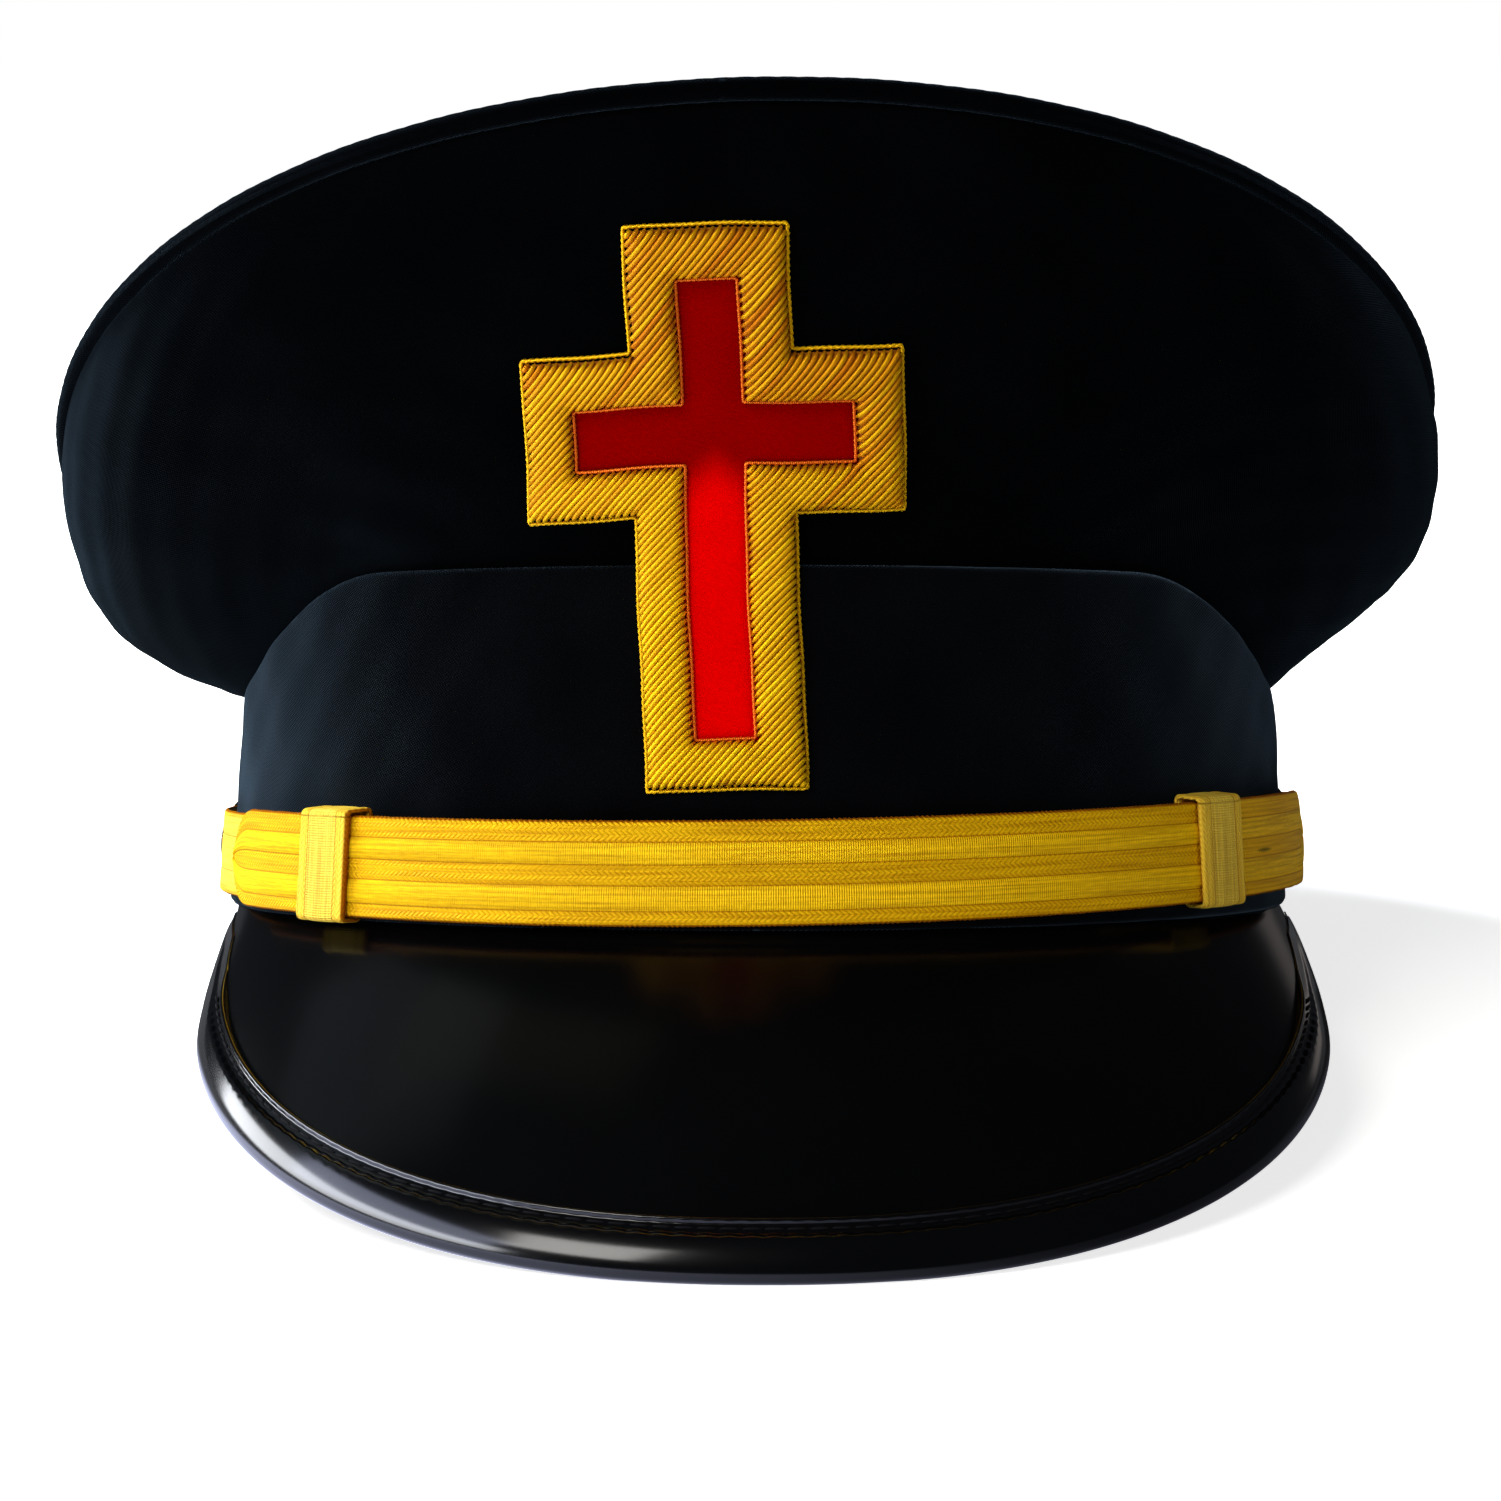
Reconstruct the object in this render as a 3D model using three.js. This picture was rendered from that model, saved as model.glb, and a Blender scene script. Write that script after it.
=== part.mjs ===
import * as THREE from 'three';

// Driving dimensions, in millimetres and degrees.
// The cap is drawn with the band's lower edge level at height 0, x to the right as one faces the
// front, y to the back and z up. Azimuth 0 is the front, and azimuth 90 is the side at +x.

const COLUMNS = 60;
const GAP = 0.3;

const BAND = {
  halfWidth: 86,
  halfLength: 103.5,
  taper: 0.064,
  wall: 2.2,
  frontHeight: 51,
  sideHeight: 32,
  fallStart: 42,
  fallEnd: 86,
};

const CROWN = {
  halfWidth: 110,
  frontReach: 124,
  backReach: 128,
  frontHeight: 113.2,
  sideHeight: 70,
  backHeight: 60,
  browFall: 10.4,
  sideLean: 0.038,
  shiftLeft: 1.5,
  frontShiftLeft: 3,
  wall: 1.8,
  tuck: 3,
  topRise: 9,
};

// How the side wall leaves the band (foot) and reaches the seam (head), by place.
const WALL_SHAPE = {
  front: { footOut: 2, footUp: 22, headOut: -5, headDown: 24 },
  side: { footOut: 16.7, footUp: 10.8, headOut: 6, headDown: 19.4 },
  back: { footOut: 12, footUp: 6, headOut: 5, headDown: 10 },
  rightMore: { footOut: -1.9, footUp: 5.7, headOut: 2.2, headDown: 1.7 },
};
const WALL_RISES = [0, 0.1, 0.22, 0.36, 0.5, 0.64, 0.78, 0.9];
const TOP_RINGS = [0.3, 0.6, 0.84];

const WELT = { radius: 1.6, sides: 8 };

const PEAK = {
  wall: 1.8,
  rootInset: 2,
  rootHalfAngle: 76,
  rimHalfAngle: 102,
  rimCentreX: 0.6,
  rimCentreY: -40.9,
  rimHalfWidth: 84.6,
  rimReach: 99.4,
  rimSquareness: 2.27,
  tipHeight: -41,
  rimRise: 0.3226,
  arch: 3.2,
  stations: 44,
};
const PEAK_ROWS = [0, 0.2, 0.42, 0.66];

const BINDING = {
  width: 6.5,
  skin: 1.1,
  rollAngles: [90, 59, 28, -3, -34, -70],
  outerPoints: 9,
  fullFrom: 14,
};

const STRAP = {
  bottom: 0.9,
  rightRise: 0.014,
  endRise: 0.00022,
  height: 14.7,
  underInset: 0.9,
  underOut: 1.3,
  underWall: 0.9,
  frontOut: 2.5,
  frontWall: 1.0,
  underEnd: 104,
  leftTip: -65.5,
  rightTip: 79,
  stationStep: 6,
};
const TONGUE_STEPS = [0, 0.06, 0.2, 0.45, 0.75, 1];

const SLIDE = {
  leftAzimuth: -45.4,
  rightAzimuth: 49.8,
  width: 11.6,
  backOut: 0.4,
  backWall: 0.6,
  frontWall: 0.8,
  edgeWall: 0.5,
  corner: 0.4,
};

const BUTTON = {
  azimuth: 98,
  radius: 7,
  edgeHeight: 0.9,
  domeHeight: 3.2,
  sides: 24,
  out: 2.6,
};

const CROSS = {
  footX: -4.6,
  footHeight: 19.9,
  lean: 2.05,
  height: 76,
  width: 51.5,
  arm: 21.4,
  border: 6.3,
  barCentre: 49.2,
  standOff: 0.45,
  borderEdge: 0.8,
  borderPad: 2.4,
  fieldWall: 0.9,
  step: 8,
};
const BRIDGE = { low: 44, high: 76 };

const REST = { frontSink: 0.35, backSink: 1.0, rounds: 6 };

const COLOURS = {
  cloth: 0x0a0b0e,
  patent: 0x050506,
  lace: 0xd9b429,
  bullion: 0xd9a520,
  red: 0xc4120f,
  gilt: 0xc9a13a,
};

const radians = THREE.MathUtils.degToRad;

// Solids

// Gives the triangles outward faces: the signed volume tells which way they turn.
function closedGeometry(points, triangles) {
  let volume = 0;
  for (const [a, b, c] of triangles) {
    volume += points[a].dot(new THREE.Vector3().crossVectors(points[b], points[c]));
  }
  const index = [];
  for (const [a, b, c] of triangles) {
    index.push(a, ...(volume > 0 ? [b, c] : [c, b]));
  }
  const geometry = new THREE.BufferGeometry();
  geometry.setAttribute('position', new THREE.Float32BufferAttribute(points.flatMap((p) => p.toArray()), 3));
  geometry.setIndex(index);
  geometry.computeVertexNormals();
  return geometry;
}

// Closes one end of a swept body. The section's points run out along one side and back along the
// other, and the two sides are joined step by step.
function endTriangles(count, outCount, first) {
  const backCount = count - outCount;
  const triangles = [];
  let out = 0;
  let back = 0;
  while (out < outCount - 1 || back < backCount - 1) {
    const outNext = (out + 1) / (outCount - 1);
    const backNext = (back + 1) / (backCount - 1);
    const backIndex = first + count - 1 - back;
    if (outNext <= backNext) {
      triangles.push([first + out, first + out + 1, backIndex]);
      out += 1;
    } else {
      triangles.push([first + out, backIndex - 1, backIndex]);
      back += 1;
    }
  }
  return triangles;
}

// One body through a row of sections. Each section is a ring with the same number of points.
function sweptBody(sections, closed, outCount = sections[0].length / 2) {
  const count = sections[0].length;
  const spans = closed ? sections.length : sections.length - 1;
  const triangles = [];
  for (let i = 0; i < spans; i += 1) {
    const here = i * count;
    const next = ((i + 1) % sections.length) * count;
    for (let j = 0; j < count; j += 1) {
      const k = (j + 1) % count;
      triangles.push([here + j, next + j, next + k], [here + j, next + k, here + k]);
    }
  }
  if (!closed) {
    triangles.push(...endTriangles(count, outCount, 0));
    triangles.push(...endTriangles(count, outCount, (sections.length - 1) * count));
  }
  return closedGeometry(sections.flat(), sameTurn(triangles));
}

// Turns each triangle so that it runs its shared edges against its neighbours.
function sameTurn(triangles) {
  const byEdge = new Map();
  triangles.forEach((triangle, t) => {
    for (let k = 0; k < 3; k += 1) {
      const edge = [triangle[k], triangle[(k + 1) % 3]].sort((a, b) => a - b).join();
      byEdge.set(edge, [...(byEdge.get(edge) ?? []), t]);
    }
  });
  const runs = (triangle, a, b) => [0, 1, 2].some((k) => triangle[k] === a && triangle[(k + 1) % 3] === b);
  const turned = triangles.map((triangle) => [...triangle]);
  const seen = new Set([0]);
  const queue = [0];
  while (queue.length > 0) {
    const t = queue.pop();
    for (let k = 0; k < 3; k += 1) {
      const [a, b] = [turned[t][k], turned[t][(k + 1) % 3]];
      for (const other of byEdge.get([a, b].sort((p, q) => p - q).join())) {
        if (!seen.has(other)) {
          if (runs(turned[other], a, b)) {
            turned[other].reverse();
          }
          seen.add(other);
          queue.push(other);
        }
      }
    }
  }
  return turned;
}

// The outward normal of a surface that is given by azimuth and a second measure.
function surfaceNormal(surface, azimuth, rise) {
  const step = 1e-3;
  const along = surface(azimuth + step, rise).sub(surface(azimuth - step, rise));
  const up = surface(azimuth, rise + step).sub(surface(azimuth, rise - step));
  return along.cross(up).normalize();
}

function movedAlong(point, direction, distance) {
  return point.clone().addScaledVector(direction, distance);
}

function ringAzimuths() {
  return Array.from({ length: COLUMNS }, (unused, i) => (2 * Math.PI * i) / COLUMNS);
}

// Band

function bandPoint(azimuth, height, out = 0) {
  const across = BAND.halfWidth + out - BAND.taper * height;
  const along = BAND.halfLength + out - BAND.taper * height;
  return new THREE.Vector3(across * Math.sin(azimuth), -along * Math.cos(azimuth), height);
}

function bandTop(azimuth) {
  const fromFront = THREE.MathUtils.radToDeg(Math.acos(Math.cos(azimuth)));
  const fall = THREE.MathUtils.smoothstep(fromFront, BAND.fallStart, BAND.fallEnd);
  return THREE.MathUtils.lerp(BAND.frontHeight, BAND.sideHeight, fall);
}

function bandSections() {
  return ringAzimuths().map((azimuth) => {
    const top = bandTop(azimuth);
    return [
      bandPoint(azimuth, 0),
      bandPoint(azimuth, top),
      bandPoint(azimuth, top, -BAND.wall),
      bandPoint(azimuth, 0, -BAND.wall),
    ];
  });
}

// Crown

function seamHeight(forward, x) {
  const { frontHeight, sideHeight, backHeight, browFall, sideLean } = CROWN;
  const bend = (frontHeight + backHeight) / 2 - sideHeight;
  const slope = (frontHeight - backHeight) / 2 + browFall;
  return sideHeight + slope * forward + bend * forward ** 2 - browFall * forward ** 3 + sideLean * x;
}

// The top panel at a share of the way from its centre to the seam.
function crownTopPoint(azimuth, share) {
  const forward = Math.cos(azimuth) * share;
  const reach = forward > 0 ? CROWN.frontReach : CROWN.backReach;
  const x = CROWN.halfWidth * Math.sin(azimuth) * share;
  const rise = CROWN.topRise * (1 - share ** 2);
  const shift = CROWN.shiftLeft + CROWN.frontShiftLeft * forward;
  return new THREE.Vector3(x - shift, -reach * forward, seamHeight(forward, x) + rise);
}

function wallShape(azimuth, column) {
  const forward = Math.cos(azimuth);
  const end = forward > 0 ? WALL_SHAPE.front : WALL_SHAPE.back;
  const side = WALL_SHAPE.side[column] + WALL_SHAPE.rightMore[column] * Math.sin(azimuth);
  return THREE.MathUtils.lerp(side, end[column], forward ** 2);
}

function outwardDirection(azimuth) {
  const reach = Math.cos(azimuth) > 0 ? CROWN.frontReach : CROWN.backReach;
  return new THREE.Vector3(Math.sin(azimuth) / CROWN.halfWidth, -Math.cos(azimuth) / reach, 0).normalize();
}

// The outer face of the side wall: a curve with two handles from the band's top edge to the seam.
function crownFace(azimuth, rise) {
  const out = outwardDirection(azimuth);
  const top = bandTop(azimuth);
  const foot = bandPoint(azimuth, top + 1.4 * GAP, -BAND.wall - GAP);
  const seam = crownTopPoint(azimuth, 1);
  const footHandle = movedAlong(bandPoint(azimuth, top), out, wallShape(azimuth, 'footOut'));
  footHandle.z += wallShape(azimuth, 'footUp');
  const headHandle = movedAlong(seam, out, wallShape(azimuth, 'headOut'));
  headHandle.z -= wallShape(azimuth, 'headDown');
  const rest = 1 - rise;
  return foot
    .multiplyScalar(rest ** 3)
    .addScaledVector(footHandle, 3 * rest ** 2 * rise)
    .addScaledVector(headHandle, 3 * rest * rise ** 2)
    .addScaledVector(seam, rise ** 3);
}

// The share of the wall's curve that ends just clear of the welt.
function lastRise(azimuth) {
  const seam = crownTopPoint(azimuth, 1);
  let rise = 1;
  while (crownFace(azimuth, rise).distanceTo(seam) < WELT.radius + GAP) {
    rise -= 0.002;
  }
  return rise;
}

function crownSideSections() {
  return ringAzimuths().map((azimuth) => {
    const bottom = bandTop(azimuth) - CROWN.tuck;
    const last = lastRise(azimuth);
    const outer = [bandPoint(azimuth, bottom, -BAND.wall - GAP)];
    const inner = [bandPoint(azimuth, bottom, -BAND.wall - GAP - CROWN.wall)];
    for (const share of [...WALL_RISES, 1]) {
      const face = crownFace(azimuth, share * last);
      outer.push(face);
      if (share === 0) {
        inner.push(bandPoint(azimuth, face.z + CROWN.wall, -BAND.wall - GAP - CROWN.wall));
      } else {
        inner.push(movedAlong(face, surfaceNormal(crownFace, azimuth, share * last), -CROWN.wall));
      }
    }
    return [...outer, ...inner.reverse()];
  });
}

function crownWeltSections() {
  return ringAzimuths().map((azimuth) => {
    const centre = crownTopPoint(azimuth, 1);
    const out = outwardDirection(azimuth);
    return Array.from({ length: WELT.sides }, (unused, k) => {
      const turn = (2 * Math.PI * (k + 0.5)) / WELT.sides;
      const point = movedAlong(centre, out, WELT.radius * Math.cos(turn));
      point.z += WELT.radius * Math.sin(turn);
      return point;
    });
  });
}

// The top panel: rings of points above and below, with one point at the centre of each face.
function crownTopGeometry() {
  const azimuths = ringAzimuths();
  const edge = 1 - (WELT.radius + GAP) / CROWN.halfWidth;
  const lowerEdge = edge - (GAP + 1.2 * CROWN.wall) / CROWN.halfWidth;
  const points = [];
  const triangles = [];
  const addFace = (shares, drop) => {
    const first = points.length;
    points.push(crownTopPoint(0, 0).add(new THREE.Vector3(0, 0, -drop)));
    for (const share of shares) {
      for (const azimuth of azimuths) {
        points.push(crownTopPoint(azimuth, share).add(new THREE.Vector3(0, 0, -drop)));
      }
    }
    for (let k = 0; k < COLUMNS; k += 1) {
      const next = (k + 1) % COLUMNS;
      triangles.push([first, first + 1 + k, first + 1 + next]);
      for (let ring = 1; ring < shares.length; ring += 1) {
        const inside = first + 1 + (ring - 1) * COLUMNS;
        const outside = inside + COLUMNS;
        triangles.push([inside + k, outside + k, outside + next], [inside + k, outside + next, inside + next]);
      }
    }
    return first + 1 + (shares.length - 1) * COLUMNS;
  };
  const upper = addFace([...TOP_RINGS, edge], 0);
  const lower = addFace([...TOP_RINGS, lowerEdge], CROWN.wall);
  for (let k = 0; k < COLUMNS; k += 1) {
    const next = (k + 1) % COLUMNS;
    triangles.push([upper + k, lower + k, lower + next], [upper + k, lower + next, upper + next]);
  }
  return closedGeometry(points, sameTurn(triangles));
}

// Peak

// The peak's free edge: a squarish oval in plan, rising evenly from its tip to its ends.
function peakRim(turn) {
  const { rimHalfWidth, rimReach, rimSquareness, rimCentreX, rimCentreY } = PEAK;
  const across = Math.abs(Math.sin(turn) / rimHalfWidth) ** rimSquareness;
  const along = Math.abs(Math.cos(turn) / rimReach) ** rimSquareness;
  const radius = (across + along) ** (-1 / rimSquareness);
  const y = rimCentreY - radius * Math.cos(turn);
  const height = PEAK.tipHeight + PEAK.rimRise * (y - rimCentreY + rimReach);
  return new THREE.Vector3(rimCentreX + radius * Math.sin(turn), y, height);
}

// The peak's upper face, from its root under the band (share 0) to its free edge (share 1).
function peakFace(turn, share) {
  const azimuth = turn * (PEAK.rootHalfAngle / PEAK.rimHalfAngle);
  const root = bandPoint(azimuth, -GAP, -PEAK.rootInset);
  const rim = peakRim(turn);
  const slope = rim.clone().sub(root);
  const across = new THREE.Vector3(-slope.y, slope.x, 0).normalize();
  const bow = new THREE.Vector3().crossVectors(slope, across).normalize();
  const arch = PEAK.arch * (slope.length() / PEAK.rimReach) * 4 * share * (1 - share);
  return root.addScaledVector(slope, share).addScaledVector(bow, bow.z > 0 ? arch : -arch);
}

function peakNormal(turn, share) {
  const normal = surfaceNormal(peakFace, turn, share);
  return normal.z > 0 ? normal : normal.negate();
}

function bindingShare(turn) {
  const length = peakFace(turn, 1).distanceTo(peakFace(turn, 0));
  return 1 - Math.min(BINDING.width, 0.55 * length) / length;
}

function peakTurns() {
  const half = radians(PEAK.rimHalfAngle);
  return Array.from({ length: PEAK.stations + 1 }, (unused, i) => half * ((2 * i) / PEAK.stations - 1));
}

function peakSections() {
  return peakTurns().map((turn) => {
    const shares = [...PEAK_ROWS, bindingShare(turn), 1];
    const upper = shares.map((share) => peakFace(turn, share));
    const lower = shares.map((share, i) => movedAlong(upper[i], peakNormal(turn, share), -PEAK.wall));
    return [...upper, ...lower.reverse()];
  });
}

function bindingSections() {
  const roll = (PEAK.wall + 2 * GAP + 2 * BINDING.skin) / 2;
  const skinTop = GAP + BINDING.skin;
  return peakTurns().map((turn) => {
    const start = bindingShare(turn);
    const face = peakFace(turn, start);
    const faceNormal = peakNormal(turn, start);
    const edge = peakFace(turn, 1);
    const normal = peakNormal(turn, 1);
    const along = peakFace(turn + 1e-3, 1).sub(peakFace(turn - 1e-3, 1)).normalize();
    const out = new THREE.Vector3().crossVectors(along, normal).normalize();
    if (out.dot(edge.clone().sub(peakFace(turn, 0))) < 0) {
      out.negate();
    }
    const length = edge.distanceTo(peakFace(turn, 0));
    const fade = Math.min(1, length / BINDING.fullFrom);
    const place = (outward, upward) => movedAlong(movedAlong(edge, out, outward * fade), normal, upward);
    const rolled = BINDING.rollAngles.map((angle) => {
      const turned = radians(angle);
      return place(roll * Math.cos(turned), skinTop - roll + roll * Math.sin(turned));
    });
    return [
      movedAlong(face, faceNormal, skinTop),
      ...rolled,
      place(0, skinTop - 2 * roll),
      movedAlong(face, faceNormal, skinTop - 2 * roll),
      movedAlong(face, faceNormal, -PEAK.wall - GAP),
      place(GAP / fade, -PEAK.wall - GAP),
      place(GAP / fade, GAP),
      movedAlong(face, faceNormal, GAP),
    ];
  });
}

// Chin strap

function strapBottom(azimuth) {
  const x = BAND.halfWidth * Math.sin(azimuth);
  return STRAP.bottom + STRAP.rightRise * x + STRAP.endRise * x ** 2;
}

// Stations from one end to the other, closer together where an end is rounded.
function strapStations(start, end, leftRound, rightRound) {
  const arc = THREE.MathUtils.radToDeg(STRAP.height / 2 / ((BAND.halfWidth + BAND.halfLength) / 2));
  const stations = TONGUE_STEPS.map((step) => ({ angle: start + arc * step, share: step, round: leftRound }));
  const middle = Math.floor((end - start - 2 * arc) / STRAP.stationStep);
  for (let i = 1; i < middle; i += 1) {
    stations.push({ angle: start + arc + ((end - start - 2 * arc) * i) / middle, share: 1, round: false });
  }
  for (const step of [...TONGUE_STEPS].reverse()) {
    stations.push({ angle: end - arc * step, share: step, round: rightRound });
  }
  return stations;
}

function strapSections({ start, end, out, wall, inset }) {
  const half = STRAP.height / 2 - inset;
  return strapStations(start, end, true, true).map(({ angle, share, round }) => {
    const azimuth = radians(angle);
    const middle = strapBottom(azimuth) + STRAP.height / 2;
    const reach = round ? half * Math.max(0.22, Math.sqrt(1 - (1 - share) ** 2)) : half;
    return [
      bandPoint(azimuth, middle - reach, out),
      bandPoint(azimuth, middle - reach, out + wall),
      bandPoint(azimuth, middle + reach, out + wall),
      bandPoint(azimuth, middle + reach, out),
    ];
  });
}

// A slide: a flat strip of lace closed in a loop round both layers of the strap.
function slideSections(angle) {
  const azimuth = radians(angle);
  const spread = SLIDE.width / 2 / ((BAND.halfWidth + BAND.halfLength) / 2);
  const azimuths = [azimuth - spread, azimuth, azimuth + spread];
  const inner = {
    back: SLIDE.backOut + SLIDE.backWall,
    front: STRAP.frontOut + STRAP.frontWall + GAP,
    low: -GAP,
    high: STRAP.height + GAP,
  };
  const outer = {
    back: SLIDE.backOut,
    front: inner.front + SLIDE.frontWall,
    low: inner.low - SLIDE.edgeWall,
    high: inner.high + SLIDE.edgeWall,
  };
  const corners = ['back,low', 'front,low', 'front,high', 'back,high'];
  return corners.flatMap((corner, i) => {
    const [depth, level] = corner.split(',');
    const depthSign = depth === 'back' ? 1 : -1;
    const levelSign = level === 'low' ? 1 : -1;
    const cuts = [
      { depth: 0, level: levelSign * SLIDE.corner },
      { depth: depthSign * SLIDE.corner, level: 0 },
    ];
    const ordered = i % 2 === 0 ? cuts : [...cuts].reverse();
    return ordered.map((cut) => [
      ...azimuths.map((a) => bandPoint(a, strapBottom(a) + inner[level], inner[depth])),
      ...[...azimuths].reverse().map((a) => (
        bandPoint(a, strapBottom(a) + outer[level] + cut.level, outer[depth] + cut.depth)
      )),
    ]);
  });
}

// A plain domed side button, turned about its own axis and laid against the strap.
function buttonMesh(name, side) {
  const { radius, edgeHeight, domeHeight } = BUTTON;
  const profile = [new THREE.Vector2(0, 0), new THREE.Vector2(radius, 0), new THREE.Vector2(radius, edgeHeight)];
  for (const share of [0.85, 0.55, 0]) {
    const height = edgeHeight + (domeHeight - edgeHeight) * Math.sqrt(1 - share ** 2);
    profile.push(new THREE.Vector2(radius * share, height));
  }
  const azimuth = radians(side * BUTTON.azimuth);
  const height = strapBottom(azimuth) + STRAP.height / 2;
  const out = surfaceNormal((a, rise) => bandPoint(a, height + rise), azimuth, 0);
  const mesh = namedMesh(name, new THREE.LatheGeometry(profile, BUTTON.sides), MATERIALS.gilt);
  mesh.position.copy(movedAlong(bandPoint(azimuth, height), out, BUTTON.out));
  mesh.quaternion.setFromUnitVectors(new THREE.Vector3(0, 1, 0), out);
  return mesh;
}

// Cross patch

// The depth of the crown's outer face in front, at a given x and height.
function crownDepth(x, height) {
  let azimuth = x / CROWN.halfWidth;
  let rise = 0.5;
  for (let round = 0; round < 40; round += 1) {
    const here = crownFace(azimuth, rise);
    azimuth += (x - here.x) / CROWN.halfWidth;
    rise += (height - here.z) / (2 * (CROWN.frontHeight - BAND.frontHeight));
  }
  return crownFace(azimuth, rise).y;
}

function bandDepth(x, height) {
  const across = BAND.halfWidth - BAND.taper * height;
  const along = BAND.halfLength - BAND.taper * height;
  return -along * Math.sqrt(1 - (x / across) ** 2);
}

// What the patch lies on: the band below, the crown above, and a smooth bridge between them.
function patchDepth(x, height) {
  if (height <= BRIDGE.low) {
    return bandDepth(x, height);
  }
  if (height >= BRIDGE.high) {
    return crownDepth(x, height);
  }
  const span = BRIDGE.high - BRIDGE.low;
  const share = (height - BRIDGE.low) / span;
  const low = bandDepth(x, BRIDGE.low);
  const high = crownDepth(x, BRIDGE.high);
  const lowSlope = (bandDepth(x, BRIDGE.low) - bandDepth(x, BRIDGE.low - 1)) * span;
  const highSlope = (crownDepth(x, BRIDGE.high + 1) - crownDepth(x, BRIDGE.high)) * span;
  return low * (2 * share ** 3 - 3 * share ** 2 + 1)
    + lowSlope * (share ** 3 - 2 * share ** 2 + share)
    + high * (3 * share ** 2 - 2 * share ** 3)
    + highSlope * (share ** 3 - share ** 2);
}

// A point of the patch: across and up in the leaning cross, and out from what it lies on.
function patchPoint(across, up, out) {
  const lean = radians(CROSS.lean);
  const at = (a, u) => {
    const x = CROSS.footX + a * Math.cos(lean) - u * Math.sin(lean);
    const z = CROSS.footHeight + a * Math.sin(lean) + u * Math.cos(lean);
    return new THREE.Vector3(x, patchDepth(x, z), z);
  };
  const side = at(across + 0.5, up).sub(at(across - 0.5, up));
  const rise = at(across, up + 0.5).sub(at(across, up - 0.5));
  const normal = side.cross(rise).normalize();
  return movedAlong(at(across, up), normal, CROSS.standOff + out);
}

// The twelve corners of the cross, drawn in from its edge by a distance.
function crossOutline(inset) {
  const arm = CROSS.arm / 2 - inset;
  const reach = CROSS.width / 2 - inset;
  const foot = inset;
  const head = CROSS.height - inset;
  const low = CROSS.barCentre - arm;
  const high = CROSS.barCentre + arm;
  return [
    [-arm, foot], [arm, foot], [arm, low], [reach, low], [reach, high], [arm, high],
    [arm, head], [-arm, head], [-arm, high], [-reach, high], [-reach, low], [-arm, low],
  ];
}

function crossBorderSections() {
  const outside = crossOutline(0);
  const inside = crossOutline(CROSS.border);
  const rows = [
    { share: 0, out: 0 },
    { share: 0, out: CROSS.borderEdge },
    { share: 0.3, out: CROSS.borderPad },
    { share: 0.7, out: CROSS.borderPad },
    { share: 1, out: CROSS.borderEdge },
    { share: 1, out: 0 },
    { share: 0.5, out: 0 },
  ];
  return outside.flatMap((corner, i) => {
    const next = (i + 1) % outside.length;
    const length = Math.hypot(outside[next][0] - corner[0], outside[next][1] - corner[1]);
    const steps = Math.ceil(length / CROSS.step);
    return Array.from({ length: steps }, (unused, k) => rows.map(({ share, out }) => {
      const mix = (axis) => {
        const outer = THREE.MathUtils.lerp(corner[axis], outside[next][axis], k / steps);
        const inner = THREE.MathUtils.lerp(inside[i][axis], inside[next][axis], k / steps);
        return THREE.MathUtils.lerp(outer, inner, share);
      };
      return patchPoint(mix(0), mix(1), out);
    }));
  });
}

// The red field: a thin sheet made of the cells that a cross covers.
function crossFieldGeometry() {
  const inset = CROSS.border + GAP;
  const arm = CROSS.arm / 2 - inset;
  const reach = CROSS.width / 2 - inset;
  const low = CROSS.barCentre - arm;
  const high = CROSS.barCentre + arm;
  const evenly = (from, to) => {
    const steps = Math.ceil((to - from) / CROSS.step);
    return Array.from({ length: steps }, (unused, k) => from + ((to - from) * k) / steps);
  };
  const acrossLines = [...evenly(-reach, -arm), ...evenly(-arm, arm), ...evenly(arm, reach), reach];
  const head = CROSS.height - inset;
  const upLines = [...evenly(inset, low), ...evenly(low, high), ...evenly(high, head), head];
  const covered = (i, j) => {
    const inGrid = i >= 0 && j >= 0 && i < acrossLines.length - 1 && j < upLines.length - 1;
    const across = inGrid ? (acrossLines[i] + acrossLines[i + 1]) / 2 : 0;
    const up = inGrid ? (upLines[j] + upLines[j + 1]) / 2 : 0;
    return inGrid && (Math.abs(across) < arm || (up > low && up < high));
  };
  const points = [];
  const known = new Map();
  const corner = (i, j, level) => {
    const key = `${i},${j},${level}`;
    if (!known.has(key)) {
      known.set(key, points.length);
      points.push(patchPoint(acrossLines[i], upLines[j], level * CROSS.fieldWall));
    }
    return known.get(key);
  };
  const triangles = [];
  const addQuad = (a, b, c, d) => triangles.push([a, b, c], [a, c, d]);
  for (let i = 0; i < acrossLines.length - 1; i += 1) {
    for (let j = 0; j < upLines.length - 1; j += 1) {
      if (covered(i, j)) {
        for (const level of [0, 1]) {
          const ring = [[i, j], [i + 1, j], [i + 1, j + 1], [i, j + 1]];
          addQuad(...ring.map(([a, b]) => corner(a, b, level)));
        }
        const sides = [
          [[i - 1, j], [i, j], [i, j + 1]],
          [[i + 1, j], [i + 1, j], [i + 1, j + 1]],
          [[i, j - 1], [i, j], [i + 1, j]],
          [[i, j + 1], [i, j + 1], [i + 1, j + 1]],
        ];
        for (const [beyond, from, to] of sides) {
          if (!covered(...beyond)) {
            addQuad(corner(...from, 0), corner(...to, 0), corner(...to, 1), corner(...from, 1));
          }
        }
      }
    }
  }
  return closedGeometry(points, sameTurn(triangles));
}

// Resting on a table

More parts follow.
